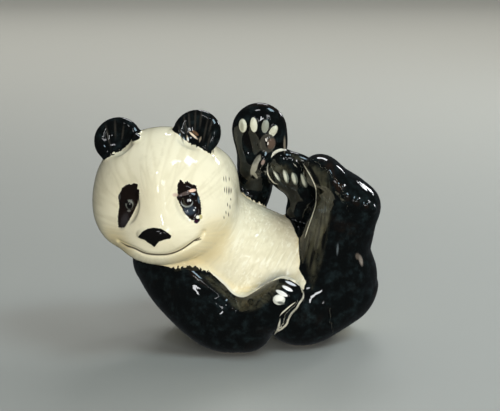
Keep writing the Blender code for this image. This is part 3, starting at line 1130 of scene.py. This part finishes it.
@dataclass
class Casting:
    """The whole figurine, modelled as one piece of clay and seated in the frame.

    Attributes:
        parts: The panda's parts, in the order in which they are worked.
        coarse_grain: How finely the lumps are first worked together, in millimetres.
        grain: How finely the whole is worked.
        foot_depth: How much of the underside is rubbed flat.
        largest_move: How far a vertex moves in one press, at most.
        comb_reach: How far from a mass its strokes are still combed.
        sight_gap: How far off the surface a line of sight starts.
        pool_rounds: How often the skin is smoothed to find its hollows.
        stain_reach: The distance over which a warm stain fades.
        tuft_reach: The distance over which the tufts of an edge fade.
        crease: The angle past which an edge is sharp, in degrees.
        detailed: Where the clay is worked twice as finely.
        shoulder_band: The black band round the shoulders and the back.
        stains: Where the cream is warmer, on the throat and at the left jaw.
    """

    parts: tuple[Limb, ...]
    coarse_grain: float = 1.6
    grain: float = 1.03
    foot_depth: float = 1.4
    largest_move: float = 1.5
    comb_reach: float = 0.8
    sight_gap: float = 0.3
    pool_rounds: int = 12
    stain_reach: float = 8
    tuft_reach: float = 3
    crease: float = 50
    detailed: tuple[Ball, ...] = (
        Ball((0, -22, -6), (30, 16, 26), place=HEAD),
        Ball((-18.8, -8, 31), (13, 9, 13), place=HEAD),
        Ball((19.6, -8, 31), (13, 9, 13), place=HEAD),
        Ball((22, -42, 35), (13, 10, 12)),
        Ball((11, 2, 102), (17, 8, 17)),
        Ball((22, 2, 85), (20, 10, 14)),
        Ball((57, -24, 77), (13, 8, 9)),
    )
    shoulder_band: Roll = Roll((
        (-30, -6, 40, 19), (-26, 12, 36, 19), (-14, 20, 44, 18), (-4, 21, 60, 17)
    ))
    stains: tuple[Ball, ...] = (
        Ball((-12, -30, 60), (7, 9, 7)),
        Ball((-18, -34, 52), (12, 9, 5)),
        Ball((-58, -36, 56), (6, 8, 5)),
    )
    obj: bpy.types.Object = field(init=False)
    steps: list[Mass | Stroke] = field(init=False)

    def build(self) -> bpy.types.Object:
        """Models the clay, combs it, lays on the paint and seats the piece in the frame."""
        self.steps = [step for part in self.parts for step in part.steps()]
        self.obj = self.lumps_together()
        LOG.info("lumps joined: %d vertices", len(self.obj.data.vertices))
        self.work_clay(self.coarse_grain, rounds=4)
        self.work_clay(self.grain, rounds=3)
        self.refine_details()
        self.press(rounds=2)
        LOG.info("clay worked: %d vertices", len(self.obj.data.vertices))
        fur = self.comb_fur()
        self.lay_paint(fur)
        self.seat()
        return self.obj

    def lumps_together(self) -> bpy.types.Object:
        """One object of all the overlapping lumps, before they are worked together."""
        balls = []
        bpy.ops.object.select_all(action="DESELECT")
        bpy.ops.mesh.primitive_uv_sphere_add(segments=24, ring_count=16, radius=1)
        pattern = bpy.context.object
        for step in self.steps:
            for matrix in step.lumps():
                ball = pattern.copy()
                ball.data = pattern.data.copy()
                ball.data.transform(matrix)
                bpy.context.scene.collection.objects.link(ball)
                balls.append(ball)
        bpy.data.objects.remove(pattern)
        for ball in balls:
            ball.select_set(True)
        bpy.context.view_layer.objects.active = balls[0]
        bpy.ops.object.join()
        clay = bpy.context.object
        clay.name = "panda_casting"
        clay.data.name = clay.name
        return clay

    def points_and_normals(self) -> tuple[np.ndarray, np.ndarray]:
        """The mesh's vertices and their normals, one to a row."""
        mesh = self.obj.data
        points = np.empty(len(mesh.vertices) * 3)
        normals = np.empty(len(mesh.vertices) * 3)
        mesh.vertices.foreach_get("co", points)
        mesh.vertex_normals.foreach_get("vector", normals)
        return points.reshape(-1, 3), normals.reshape(-1, 3)

    def edge_ends(self) -> tuple[np.ndarray, np.ndarray]:
        """The vertex at the one end and at the other end of every edge."""
        edges = self.obj.data.edges
        ends = np.empty(len(edges) * 2, int)
        edges.foreach_get("vertices", ends)
        return ends[::2], ends[1::2]

    def move(self, points: np.ndarray) -> None:
        """Puts the mesh's vertices at these points."""
        self.obj.data.vertices.foreach_set("co", points.ravel())
        self.obj.data.update()

    def surface(self, points: np.ndarray) -> np.ndarray:
        """The distance of each point above the figurine's surface, negative inside it."""
        whole = self.steps[0].depth(points)
        for step in self.steps[1:]:
            whole = step.worked_in(whole, points)
        return whole

    def press(self, rounds: int) -> None:
        """Moves every vertex along its normal on to the smoothed surface of the forms."""
        for _ in range(rounds):
            points, normals = self.points_and_normals()
            lift = np.clip(self.surface(points), -self.largest_move, self.largest_move)
            self.move(points - lift[:, None] * normals)

    def work_clay(self, grain: float, rounds: int) -> None:
        """Makes one even skin of the clay and presses it on to the forms' surface.

        Args:
            grain: The size of the skin's faces, in millimetres.
            rounds: How often the skin is pressed.
        """
        remesh = self.obj.modifiers.new("worked clay", "REMESH")
        remesh.mode = "VOXEL"
        remesh.voxel_size = grain
        selected_alone(self.obj)
        bpy.ops.object.modifier_apply(modifier=remesh.name)
        self.press(rounds)

    def refine_details(self) -> None:
        """Divides the faces on the head's front, the ears and the paws."""
        mesh = self.obj.data
        centres = np.empty(len(mesh.polygons) * 3)
        mesh.polygons.foreach_get("center", centres)
        centres = centres.reshape(-1, 3)
        near = np.min([ball.depth(centres) for ball in self.detailed], axis=0) < 0
        mesh.polygons.foreach_set("select", near)
        selected_alone(self.obj)
        bpy.ops.object.mode_set(mode="EDIT")
        bpy.ops.mesh.select_mode(type="FACE")
        bpy.ops.object.mode_set(mode="OBJECT")
        mesh.polygons.foreach_set("select", near)
        bpy.ops.object.mode_set(mode="EDIT")
        bpy.ops.mesh.subdivide(number_cuts=1)
        bpy.ops.object.mode_set(mode="OBJECT")

    def comb_fur(self) -> np.ndarray:
        """Presses each part's fur strokes into the clay.

        Returns:
            How deep in a stroke each vertex lies, from minus one to zero.
        """
        points, normals = self.points_and_normals()
        fur = np.zeros(len(points))
        lift = np.zeros(len(points))
        for part in self.parts:
            # A third mass is the pads of a foot, which aren't combed for themselves.
            combed = [mass.depth(points) for mass in part.masses()[:2]]
            if combed:
                near = np.min(combed, axis=0) < self.comb_reach
                strokes = part.fur.strokes(points[near])
                fur[near] = strokes
                lift[near] = strokes * part.fur.height
        seen = SIGHT.seen(points)
        bare = np.ones(len(points))
        for part in self.parts:
            for dab in part.dabs():
                bare = np.minimum(bare, np.clip(dab.away(seen), 0, 1))
            for outline in part.outlines().get(Paint.PATCH, []) + part.outlines().get(Paint.NOSE, []):
                bare = np.minimum(bare, np.clip(-outline.inside(seen), 0, 1))
        self.move(points + (lift * bare)[:, None] * normals)
        return fur * bare

    def visible(self, points: np.ndarray) -> np.ndarray:
        """Which vertices the photograph's point of view sees, and their neighbours."""
        tree = BVHTree.FromPolygons(
            [tuple(point) for point in points],
            [tuple(face.vertices) for face in self.obj.data.polygons],
        )
        toward = SIGHT.eye() - points
        toward /= np.linalg.norm(toward, axis=1)[:, None]
        shown = np.array([
            tree.ray_cast(Vector(point + way * self.sight_gap), Vector(way))[0] is None
            for point, way in zip(points, toward)
        ])
        a, b = self.edge_ends()
        for _ in range(2):
            wider = shown.copy()
            np.logical_or.at(wider, a, shown[b])
            np.logical_or.at(wider, b, shown[a])
            shown = wider
        return shown

    def pools(self) -> np.ndarray:
        """Where glaze gathers: above zero in hollows and below it on ridges, in millimetres."""
        points, normals = self.points_and_normals()
        a, b = self.edge_ends()
        count = np.bincount(np.concatenate([a, b]), minlength=len(points))[:, None]
        smoothed = points.copy()
        for _ in range(self.pool_rounds):
            total = np.zeros_like(points)
            np.add.at(total, a, smoothed[b])
            np.add.at(total, b, smoothed[a])
            smoothed = total / count
        return np.sum((smoothed - points) * normals, axis=1)

    def black_ground(self, points: np.ndarray) -> np.ndarray:
        """How far each vertex lies inside the black paint, negative on the cream."""
        sides = {True: np.full(len(points), np.inf), False: np.full(len(points), np.inf)}
        for part in self.parts:
            for mass in part.masses():
                sides[part.black] = np.minimum(sides[part.black], mass.depth(points))
        black = sides[False] - sides[True]
        return np.maximum(black, 1 - self.shoulder_band.depth(points))

    def spread(self, balls: Sequence[Ball], reach: float, points: np.ndarray) -> np.ndarray:
        """One on the balls' surface and more inside it, falling to zero at the reach from it."""
        return np.max([1 - ball.depth(points) / reach for ball in balls], axis=0)

    def lay_paint(self, fur: np.ndarray) -> None:
        """Writes the painted layers on the mesh, as one attribute each.

        Args:
            fur: How deep in a fur stroke each vertex lies.
        """
        points, _ = self.points_and_normals()
        seen = SIGHT.seen(points)
        shown = self.visible(points)
        layers = {
            layer: np.full(len(points), UNPAINTED)
            for layer in (Paint.BARE, Paint.OVER, Paint.PATCH, Paint.NOSE, Paint.THIN)
        }
        ends = {Paint.PALE_SIDE: Paint.PALE_REACH, Paint.INK_SIDE: Paint.INK_REACH}
        for side_layer, reach_layer in ends.items():
            layers[side_layer] = np.full(len(points), FAR_FROM_LINES)
            layers[reach_layer] = np.zeros(len(points))
        for part in self.parts:
            for layer, outlines in part.outlines().items():
                for outline in outlines:
                    inside = np.where(shown, outline.inside(seen), UNPAINTED)
                    layers[layer] = np.maximum(layers[layer], inside)
            for layer, lines in part.lines().items():
                for line in lines:
                    side, reach = line.side_and_reach(seen)
                    closer = shown & (np.abs(side) < np.abs(layers[layer]))
                    layers[layer][closer] = side[closer]
                    layers[ends[layer]][closer] = reach[closer]
        black = np.maximum(self.black_ground(points), layers.pop(Paint.OVER))
        layers[Paint.BLACK] = np.minimum(black, -layers.pop(Paint.BARE))
        layers[Paint.STAIN] = self.spread(self.stains, self.stain_reach, points)
        tufts = [ball for part in self.parts for ball in part.tufts()]
        layers[Paint.TUFTS] = np.clip(self.spread(tufts, self.tuft_reach, points), 0, 1)
        layers[Paint.FUR] = fur
        layers[Paint.HOLLOW] = self.pools()
        for layer, values in layers.items():
            attribute = self.obj.data.attributes.new(layer.value, "FLOAT", "POINT")
            kept = np.clip(values, -FAR_FROM_LINES, FAR_FROM_LINES)
            attribute.data.foreach_set("value", kept.astype(np.float32))
        place = self.obj.data.attributes.new("seen_place", "FLOAT_VECTOR", "POINT")
        place.data.foreach_set("vector", np.column_stack([seen, shown]).astype(np.float32).ravel())

    def seat(self) -> None:
        """Brings the piece to its size in the frame, with its foot rubbed flat."""
        points, _ = self.points_and_normals()
        low, high = points.min(axis=0), points.max(axis=0)
        middle = (low + high) / 2
        place = Matrix.Translation((-middle[0], -middle[1], -low[2] - self.foot_depth))
        self.obj.data.transform(Matrix.Scale(MM, 4) @ place)
        self.obj.data.update()
        selected_alone(self.obj)
        bpy.ops.object.mode_set(mode="EDIT")
        bpy.ops.mesh.select_all(action="SELECT")
        bpy.ops.mesh.bisect(
            plane_co=(0, 0, 0), plane_no=(0, 0, -1), use_fill=True, clear_outer=True, threshold=1e-6
        )
        bpy.ops.object.mode_set(mode="OBJECT")
        bpy.ops.object.shade_smooth_by_angle(angle=math.radians(self.crease))


def tone(red: float, green: float, blue: float) -> tuple[float, float, float, float]:
    """A colour as it is read off a screen, made linear for the shader."""
    linear = [
        value / 12.92 if value < 0.04045 else ((value + 0.055) / 1.055)**2.4
        for value in (red / 255, green / 255, blue / 255)
    ]
    return (*linear, 1)


class Wiring:
    """Lays out one node tree, left to right."""

    def __init__(self, tree: bpy.types.NodeTree) -> None:
        """Starts on a tree."""
        self.tree = tree

    def add(self, kind: str, inputs: dict | None = None, **settings: object) -> bpy.types.Node:
        """Adds a node.

        Args:
            kind: The node's type, without its prefix.
            inputs: Values or sockets for its inputs, by name or index.
            **settings: The node's own settings.

        Returns:
            The node.
        """
        node = self.tree.nodes.new(f"ShaderNode{kind}")
        node.location = (len(self.tree.nodes) * 40, -len(self.tree.nodes) * 20)
        for name, value in settings.items():
            setattr(node, name, value)
        for name, value in (inputs or {}).items():
            self.fill(node.inputs[name], value)
        return node

    def fill(self, socket: Socket, value: object) -> None:
        """Links an input to a socket, or gives it a plain value."""
        if isinstance(value, Socket):
            self.tree.links.new(value, socket)
        else:
            socket.default_value = value

    def math(self, operation: str, *values: object, clamp: bool = False) -> Socket:
        """The result of a sum on values or sockets."""
        node = self.add("Math", dict(enumerate(values)), operation=operation, use_clamp=clamp)
        return node.outputs[0]

    def mix(self, share: object, a: object, b: object) -> Socket:
        """A colour between a and b."""
        node = self.add("Mix", {0: share, 6: a, 7: b}, data_type="RGBA", clamp_factor=True)
        return node.outputs[2]

    def glazed(self, colour: object, mask: object, strength: float, shade: Triple) -> Socket:
        """A colour with a shade over it, at this strength where the mask is one."""
        return self.mix(self.math("MULTIPLY", mask, strength), colour, tone(*shade))

    def layer(self, paint: Paint) -> Socket:
        """The values of a painted layer."""
        return self.add("Attribute", attribute_name=paint.value).outputs["Fac"]

    def noise(self, place: object, scale: object, detail: float = 2, **inputs: float) -> Socket:
        """Even noise about a half, at places in millimetres."""
        settings = {"Vector": place, "Scale": scale, "Detail": detail, **inputs}
        return self.add("TexNoise", settings).outputs["Fac"]

    def ramp(self, value: object, low: object, high: object) -> Socket:
        """Smoothly from zero at the low value to one at the high one, also where low is above high."""
        inputs = {"Value": value, "From Min": low, "From Max": high}
        return self.add("MapRange", inputs, interpolation_type="SMOOTHSTEP").outputs["Result"]


class Effect:
    """A shader node group with named inputs and a mask as its output, built once."""

    def __init__(self, name: str, inputs: dict[str, object]) -> None:
        """Makes the group and its sockets.

        Args:
            name: The group's name.
            inputs: Each input's name and its value, a number or a triple.
        """
        self.tree = bpy.data.node_groups.new(name, "ShaderNodeTree")
        for socket, value in inputs.items():
            kind = "Vector" if isinstance(value, tuple) else "Float"
            made = self.tree.interface.new_socket(socket, in_out="INPUT", socket_type=f"NodeSocket{kind}")
            made.default_value = value
        self.tree.interface.new_socket("Mask", in_out="OUTPUT", socket_type="NodeSocketFloat")
        self.wiring = Wiring(self.tree)
        self.given = self.tree.nodes.new("NodeGroupInput").outputs
        self.put = self.tree.nodes.new("NodeGroupOutput").inputs

    def finished(self, mask: Socket) -> Effect:
        """Links the mask to the group's output, and gives the group."""
        self.tree.links.new(mask, self.put["Mask"])
        return self

    def used(self, wiring: Wiring, **inputs: object) -> Socket:
        """Places the group in a tree.

        Args:
            wiring: The tree that it is placed in.
            **inputs: Values or sockets, by the input's name.

        Returns:
            The mask of the placed group.
        """
        return wiring.add("Group", inputs, node_tree=self.tree).outputs["Mask"]


def brushed_edge() -> Effect:
    """Paint laid on by brush, whose edge is ragged by the hairs."""
    effect = Effect(
        "brushed edge",
        {"Distance": 0.0, "Place": (0.0, 0.0, 0.0), "Ragged": 0.5, "Hairs": 1.0, "Soft": 0.15},
    )
    wiring, given = effect.wiring, effect.given
    hairs = wiring.math("SUBTRACT", wiring.noise(given["Place"], given["Hairs"], 3.0), 0.5)
    shift = wiring.math("MULTIPLY", hairs, 4.0)
    ragged = wiring.math("MULTIPLY_ADD", shift, given["Ragged"], given["Distance"])
    outer = wiring.math("MULTIPLY", given["Soft"], -1.0)
    return effect.finished(wiring.ramp(ragged, outer, given["Soft"]))


def painted_spot() -> Effect:
    """A small painted ellipse in the picture's plane."""
    effect = Effect(
        "painted spot",
        {
            "Place": (0.0, 0.0, 0.0),
            "Middle": (0.0, 0.0, 0.0),
            "Turn": (0.0, 0.0, 0.0),
            "Radii": (1.0, 1.0, 1.0),
            "Soft": 0.12,
        },
    )
    wiring, given = effect.wiring, effect.given
    off = wiring.add("VectorMath", {0: given["Place"], 1: given["Middle"]}, operation="SUBTRACT")
    turned = wiring.add(
        "VectorRotate", {"Vector": off.outputs[0], "Rotation": given["Turn"]}, rotation_type="EULER_XYZ"
    )
    shared = wiring.add("VectorMath", {0: turned.outputs[0], 1: given["Radii"]}, operation="DIVIDE")
    reach = wiring.add("VectorMath", {0: shared.outputs[0]}, operation="LENGTH").outputs["Value"]
    inner = wiring.math("SUBTRACT", 1.0, given["Soft"])
    outer = wiring.math("ADD", 1.0, given["Soft"])
    return effect.finished(wiring.ramp(reach, outer, inner))


def painted_line() -> Effect:
    """A painted line that tapers to its ends."""
    effect = Effect("painted line", {"Side": 0.0, "Reach": 0.0, "Width": 0.5})
    wiring, given = effect.wiring, effect.given
    half = wiring.math("MULTIPLY", wiring.math("MULTIPLY", given["Reach"], given["Width"]), 0.5)
    away = wiring.math("ABSOLUTE", given["Side"])
    inner, outer = wiring.math("SUBTRACT", half, 0.14), wiring.math("ADD", half, 0.1)
    ends = wiring.ramp(given["Reach"], 0.0, 0.2)
    return effect.finished(wiring.math("MULTIPLY", wiring.ramp(away, outer, inner), ends))


@dataclass(frozen=True)
class PandaGlaze:
    """The figurine's glazes: cream and black under one clear gloss, with hand-painted details.

    Attributes:
        dabs: The small painted dabs, among them painted highlights, reflections and shade, the last on top.
        cream: The plain cream glaze.
        aged: The cream where it is thin and grey.
        honey: The cream where it pools.
        fresh: The cream in its lightest strokes.
        black: The black paint.
        teal_sheen: The black paint's lighter strokes, a painted sheen.
        brown: The black paint where it is thin on a ridge.
        olive: The black paint where it is brushed thinly, and where a painted reflection lies on its flats.
        patch: The patches round the eyes.
        nose: The nose.
        ink: The mouth.
        pale: The lines left between the black parts.
        biscuit: The bare clay of the foot.
        foot_edge: Between which heights the glaze gives way to the bare clay, in millimetres.
    """

    dabs: tuple[Dab, ...]
    cream: Triple = (236, 230, 202)
    aged: Triple = (208, 200, 168)
    honey: Triple = (226, 209, 160)
    fresh: Triple = (246, 243, 222)
    black: Triple = (6, 8, 8)
    teal_sheen: Triple = (27, 37, 39)
    brown: Triple = (31, 22, 16)
    olive: Triple = (66, 65, 52)
    patch: Triple = (22, 15, 12)
    nose: Triple = (12, 11, 10)
    ink: Triple = (48, 37, 27)
    pale: Triple = (222, 218, 200)
    biscuit: Triple = (150, 130, 106)
    foot_edge: Pair = (0.75, 0.35)

    def build(self) -> bpy.types.Material:
        """Makes the material."""
        material = bpy.data.materials.new("panda glaze")
        material.use_nodes = True
        wiring = Wiring(material.node_tree)
        shader = material.node_tree.nodes["Principled BSDF"]
        place = wiring.add("Mapping", {
            "Vector": wiring.add("TexCoord").outputs["Object"],
            "Scale": (1 / MM, 1 / MM, 1 / MM),
        }).outputs[0]
        seen = wiring.add("Attribute", attribute_name="seen_place").outputs["Vector"]
        parts = wiring.add("SeparateXYZ", {0: seen})
        shown = parts.outputs["Z"]
        flat = wiring.add("CombineXYZ", {0: parts.outputs["X"], 1: parts.outputs["Y"]}).outputs[0]
        edge, spot, line = brushed_edge(), painted_spot(), painted_line()

        ragged = wiring.math("MULTIPLY_ADD", wiring.layer(Paint.TUFTS), 1.5, 0.2)
        upright = wiring.add("Mapping", {"Vector": place, "Scale": (1, 1, 0.35)}).outputs[0]
        ground = wiring.layer(Paint.BLACK)
        black = edge.used(wiring, Distance=ground, Place=upright, Ragged=ragged, Hairs=0.75)
        colour = wiring.mix(black, self.cream_ground(wiring, place), self.black_ground(wiring, place))
        for layer, ragged, hairs, shade in (
            (Paint.PATCH, 0.3, 1.6, self.patch), (Paint.NOSE, 0.1, 1.5, self.nose)
        ):
            distance = wiring.layer(layer)
            mask = edge.used(wiring, Distance=distance, Place=place, Ragged=ragged, Hairs=hairs)
            colour = wiring.mix(mask, colour, tone(*shade))
        for dab in self.dabs:
            colour = wiring.mix(self.dab_mask(wiring, spot, flat, shown, dab), colour, tone(*dab.tone))
        for side, reach, width, strength, shade in (
            (Paint.INK_SIDE, Paint.INK_REACH, 0.85, 0.9, self.ink),
            (Paint.PALE_SIDE, Paint.PALE_REACH, 0.8, 0.95, self.pale),
        ):
            mask = line.used(wiring, Side=wiring.layer(side), Reach=wiring.layer(reach), Width=width)
            colour = wiring.glazed(colour, mask, strength, shade)
        height = wiring.add("SeparateXYZ", {0: place}).outputs["Z"]
        colour = wiring.mix(wiring.ramp(height, *self.foot_edge), colour, tone(*self.biscuit))
        wiring.tree.links.new(colour, shader.inputs["Base Color"])
        self.gloss(wiring, shader, place)
        return material

    def dab_mask(self, wiring: Wiring, spot: Effect, flat: Socket, shown: Socket, dab: Dab) -> Socket:
        """Where a dab is painted.

        Args:
            wiring: The material's tree.
            spot: The painted spot's group.
            flat: Each point's place in the picture.
            shown: One where the point of view sees the surface.
            dab: The dab.

        Returns:
            One inside the dab and zero outside it.
        """
        mask = spot.used(
            wiring,
            Place=flat,
            Middle=(*dab.at, 0),
            Turn=(0, 0, math.radians(dab.turn)),
            Radii=(*dab.radii, 1),
            Soft=dab.soft / min(dab.radii) / 2,
        )
        return wiring.math("MULTIPLY", mask, shown)

    def cream_ground(self, wiring: Wiring, place: Socket) -> Socket:
        """Cream glaze: warmer where it pools, greyer where it is thin, faintly streaked."""
        clouds = wiring.ramp(wiring.noise(place, 0.045, 4.0), 0.35, 0.75)
        flecks = wiring.ramp(wiring.noise(place, 0.16, 5.0, Roughness=0.7), 0.5, 0.75)
        stain = wiring.ramp(wiring.layer(Paint.STAIN), 0.0, 1.2)
        pool = wiring.ramp(wiring.layer(Paint.HOLLOW), 0.05, 0.9)
        slope = (math.radians(-33), math.radians(33), 0)
        hairs = wiring.add(
            "Mapping", {"Vector": place, "Rotation": slope, "Scale": (1.15, 1.15, 10)}, vector_type="TEXTURE"
        ).outputs[0]
        across = wiring.add("SeparateXYZ", {0: place}).outputs["X"]
        belly = wiring.ramp(across, -14.0, 6.0)
        light = wiring.math("MULTIPLY", wiring.ramp(wiring.noise(hairs, 0.9, 2.0), 0.52, 0.68), belly)
        dull = wiring.math("MULTIPLY", wiring.ramp(wiring.noise(hairs, 0.6, 3.0), 0.48, 0.32), belly)
        colour = tone(*self.cream)
        for mask, strength, shade in (
            (clouds, 0.42, self.aged),
            (flecks, 0.35, self.aged),
            (stain, 0.75, self.honey),
            (pool, 0.6, self.honey),
            (wiring.layer(Paint.FUR), -0.38, self.aged),
            (light, 0.7, self.fresh),
            (dull, 0.45, self.aged),
        ):
            colour = wiring.glazed(colour, mask, strength, shade)
        return colour

    def black_ground(self, wiring: Wiring, place: Socket) -> Socket:
        """Black paint in brush strokes under a painted bluish sheen, brown on the ridges, and olive where it
        is thin and where a painted reflection lies.
        """
        strokes = wiring.noise(place, 0.22, 5.0, Roughness=0.65)
        # A painted bluish-green sheen in random strokes over the black.
        teal_sheen = wiring.mix(wiring.ramp(strokes, 0.45, 0.8), tone(*self.black), tone(*self.teal_sheen))
        ridge = wiring.ramp(wiring.layer(Paint.HOLLOW), -0.12, -0.6)
        patchy = wiring.ramp(wiring.noise(place, 0.12, 3.0), 0.45, 0.65)
        colour = wiring.mix(wiring.math("MULTIPLY", ridge, patchy), teal_sheen, tone(*self.brown))
        # Olive where the black paint is thin, partly a painted reflection on its flats.
        thin = wiring.ramp(wiring.layer(Paint.THIN), -1.0, 2.2)
        uneven = wiring.ramp(wiring.noise(place, 0.28, 4.0), 0.3, 0.62)
        combed = wiring.math("MULTIPLY_ADD", wiring.layer(Paint.FUR), 0.75, 1.0)
        patches = wiring.math("MULTIPLY_ADD", uneven, 0.6, 0.4)
        share = wiring.math("MULTIPLY", wiring.math("MULTIPLY", thin, combed), patches)
        return wiring.mix(share, colour, tone(*self.olive))

    def gloss(self, wiring: Wiring, shader: bpy.types.Node, place: Socket) -> None:
        """One clear gloss over everything, with the slight waves of a fired glaze."""
        shader.inputs["Roughness"].default_value = 0.4
        shader.inputs["Specular IOR Level"].default_value = 0.0
        shader.inputs["Coat Weight"].default_value = 1
        shader.inputs["Coat Roughness"].default_value = 0.035
        shader.inputs["Coat IOR"].default_value = 1.5
        waves = wiring.noise(place, 0.2, 2.0)
        bump = wiring.add("Bump", {"Height": waves, "Strength": 0.07, "Distance": 0.0006})
        wiring.tree.links.new(bump.outputs[0], shader.inputs["Normal"])


@dataclass(frozen=True)
class Window:
    """A soft rectangular light.

    Attributes:
        name: The light's name.
        azimuth: Degrees from the camera's side, to the right.
        elevation: Degrees above the horizon.
        size: Its width and height, in metres.
        power: Its power, in watts.
        tint: Its colour.
        distance: From what it lights, in metres.
        mirrored: Whether the glaze mirrors it.
        aim: What it lights, in metres.
        spread: How wide its beam is, in degrees.
    """

    name: str
    azimuth: float
    elevation: float
    size: Pair
    power: float
    tint: Triple = (1, 1, 1)
    distance: float = 1.1
    mirrored: bool = True
    aim: Triple = (0, 0, 0.06)
    spread: float = 180

    def build(self) -> None:
        """Adds the light."""
        turn, rise = math.radians(self.azimuth), math.radians(self.elevation)
        away = Vector((math.sin(turn) * math.cos(rise), -math.cos(turn) * math.cos(rise), math.sin(rise)))
        bpy.ops.object.light_add(type="AREA", location=away * self.distance + Vector(self.aim))
        light = bpy.context.object
        light.name = self.name
        light.rotation_euler = away.to_track_quat("Z", "Y").to_euler()
        light.data.shape = "RECTANGLE"
        light.data.size, light.data.size_y = self.size
        light.data.energy = self.power
        light.data.color = self.tint
        light.data.spread = math.radians(self.spread)
        light.visible_glossy = self.mirrored


@dataclass(frozen=True)
class Studio:
    """The floor, the lights and the camera.

    Attributes:
        floor_size: The width of the floor, in metres.
        floor_curve: How widely the floor is rounded where it rises, in metres.
        floor_tone: The floor's colour, as read off a screen.
        air: The colour of the light that comes from all round.
        air_strength: How strong that light is.
        sight: The photograph's point of view.
        windows: The lights.
    """

    floor_size: float = 6.0
    floor_curve: float = 0.9
    floor_tone: Triple = (160, 162, 157)
    air: Triple = (0.86, 0.94, 1)
    air_strength: float = 0.055
    sight: Sight = SIGHT
    windows: tuple[Window, ...] = (
        Window("window", 65, 56, (0.34, 0.26), 2.7, (0.62, 0.86, 1)),
        Window("soft window", 60, 50, (0.6, 0.4), 2.9, (1, 0.99, 0.96), mirrored=False),
        Window("left pane", 7.5, 22, (0.07, 0.24), 0.9, (0.97, 0.99, 1)),
        Window("right pane", 25, 31, (0.18, 0.15), 0.5, (0.97, 0.99, 1)),
        Window("narrow pane", 28.5, 14, (0.03, 0.34), 0.22, (0.97, 0.99, 1)),
        Window("back window", 132, 23, (0.24, 0.14), 1.7, (0.96, 0.98, 1)),
        Window("high back window", 169, 49, (0.4, 0.2), 2.4, (0.96, 0.98, 1)),
        Window("high front window", -6, 53, (0.18, 0.1), 0.6, (0.96, 0.98, 1)),
        Window("soft back", 118, 38, (0.8, 0.6), 4, (1, 1, 1), 1.4, mirrored=False),
        Window("soft ceiling", 0, 88, (2.4, 2.4), 3.5, (1, 0.99, 0.97), 1.6, mirrored=False),
        Window("soft front", 4, 3, (1.8, 0.9), 13, (1, 0.98, 0.95), 1.8, mirrored=False),
        Window("low fill", 10, 1, (0.7, 0.16), 3.6, (1, 0.95, 0.87), 0.9, mirrored=False),
        Window("backdrop light", 0, 86, (3.6, 1.2), 24, (1, 0.955, 0.9), 1.6, False, (0, 1.45, 0), 100),
    )

    def build(self) -> None:
        """Sets up everything round the figurine."""
        self.floor()
        self.camera()
        for window in self.windows:
            window.build()
        world = bpy.data.worlds.new("studio")
        world.use_nodes = True
        ground = world.node_tree.nodes["Background"]
        ground.inputs["Color"].default_value = (*self.air, 1)
        ground.inputs["Strength"].default_value = self.air_strength
        bpy.context.scene.world = world
        bpy.context.scene.view_settings.view_transform = "Standard"

    def floor(self) -> None:
        """A plain pale floor that rises behind the figurine."""
        half = self.floor_size / 2
        bpy.ops.object.select_all(action="DESELECT")
        bpy.ops.mesh.primitive_plane_add(size=self.floor_size, location=(0, 0, 0))
        floor = bpy.context.object
        floor.name = "studio_floor"
        bpy.ops.object.mode_set(mode="EDIT")
        bpy.ops.mesh.select_mode(type="EDGE")
        bpy.ops.mesh.select_all(action="DESELECT")
        bpy.ops.object.mode_set(mode="OBJECT")
        for corner in floor.data.edges:
            ends = [floor.data.vertices[index].co.y for index in corner.vertices]
            corner.select = min(ends) > half * 0.9
        bpy.ops.object.mode_set(mode="EDIT")
        bpy.ops.mesh.extrude_region_move(TRANSFORM_OT_translate={"value": (0, 0, half)})
        bpy.ops.object.mode_set(mode="OBJECT")
        bpy.ops.object.modifier_add(type="BEVEL")
        floor.modifiers[-1].width = self.floor_curve
        floor.modifiers[-1].segments = 16
        bpy.ops.object.modifier_apply(modifier=floor.modifiers[-1].name)
        bpy.ops.object.shade_smooth()
        finish = bpy.data.materials.new("pale floor")
        finish.use_nodes = True
        shader = finish.node_tree.nodes["Principled BSDF"]
        shader.inputs["Base Color"].default_value = tone(*self.floor_tone)
        shader.inputs["Roughness"].default_value = 0.6
        floor.data.materials.append(finish)
        floor.visible_glossy = False

    def camera(self) -> None:
        """A camera at the photograph's viewing angle."""
        target = (Vector(self.sight.target) - Vector(FRAME_ORIGIN)) * MM
        toward = Vector(self.sight.toward())
        bpy.ops.object.camera_add(location=target + toward * self.sight.distance * MM)
        camera = bpy.context.object
        camera.rotation_euler = toward.to_track_quat("Z", "Y").to_euler()
        camera.data.lens = self.sight.lens
        camera.data.sensor_width = self.sight.sensor
        camera.data.clip_start = 0.01
        bpy.context.scene.camera = camera


def main() -> None:
    """Builds the figurine and its studio, and writes how large they are."""
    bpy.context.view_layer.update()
    parts = (Trunk(), Head(), Ears(), Face(), NearArm(), FarArm(), NearLeg(), FarLeg())
    casting = Casting(parts)
    piece = casting.build()
    dabs = tuple(dab for part in parts for dab in part.dabs())
    piece.data.materials.append(PandaGlaze(dabs).build())
    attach(piece, "root")
    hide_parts(NODE)
    LOG.info("%s: %d triangles", piece.name, sum(len(face.vertices) - 2 for face in piece.data.polygons))
    Studio().build()


if __name__ == "__main__":
    logging.basicConfig(level=logging.INFO, format="%(message)s")
    main()
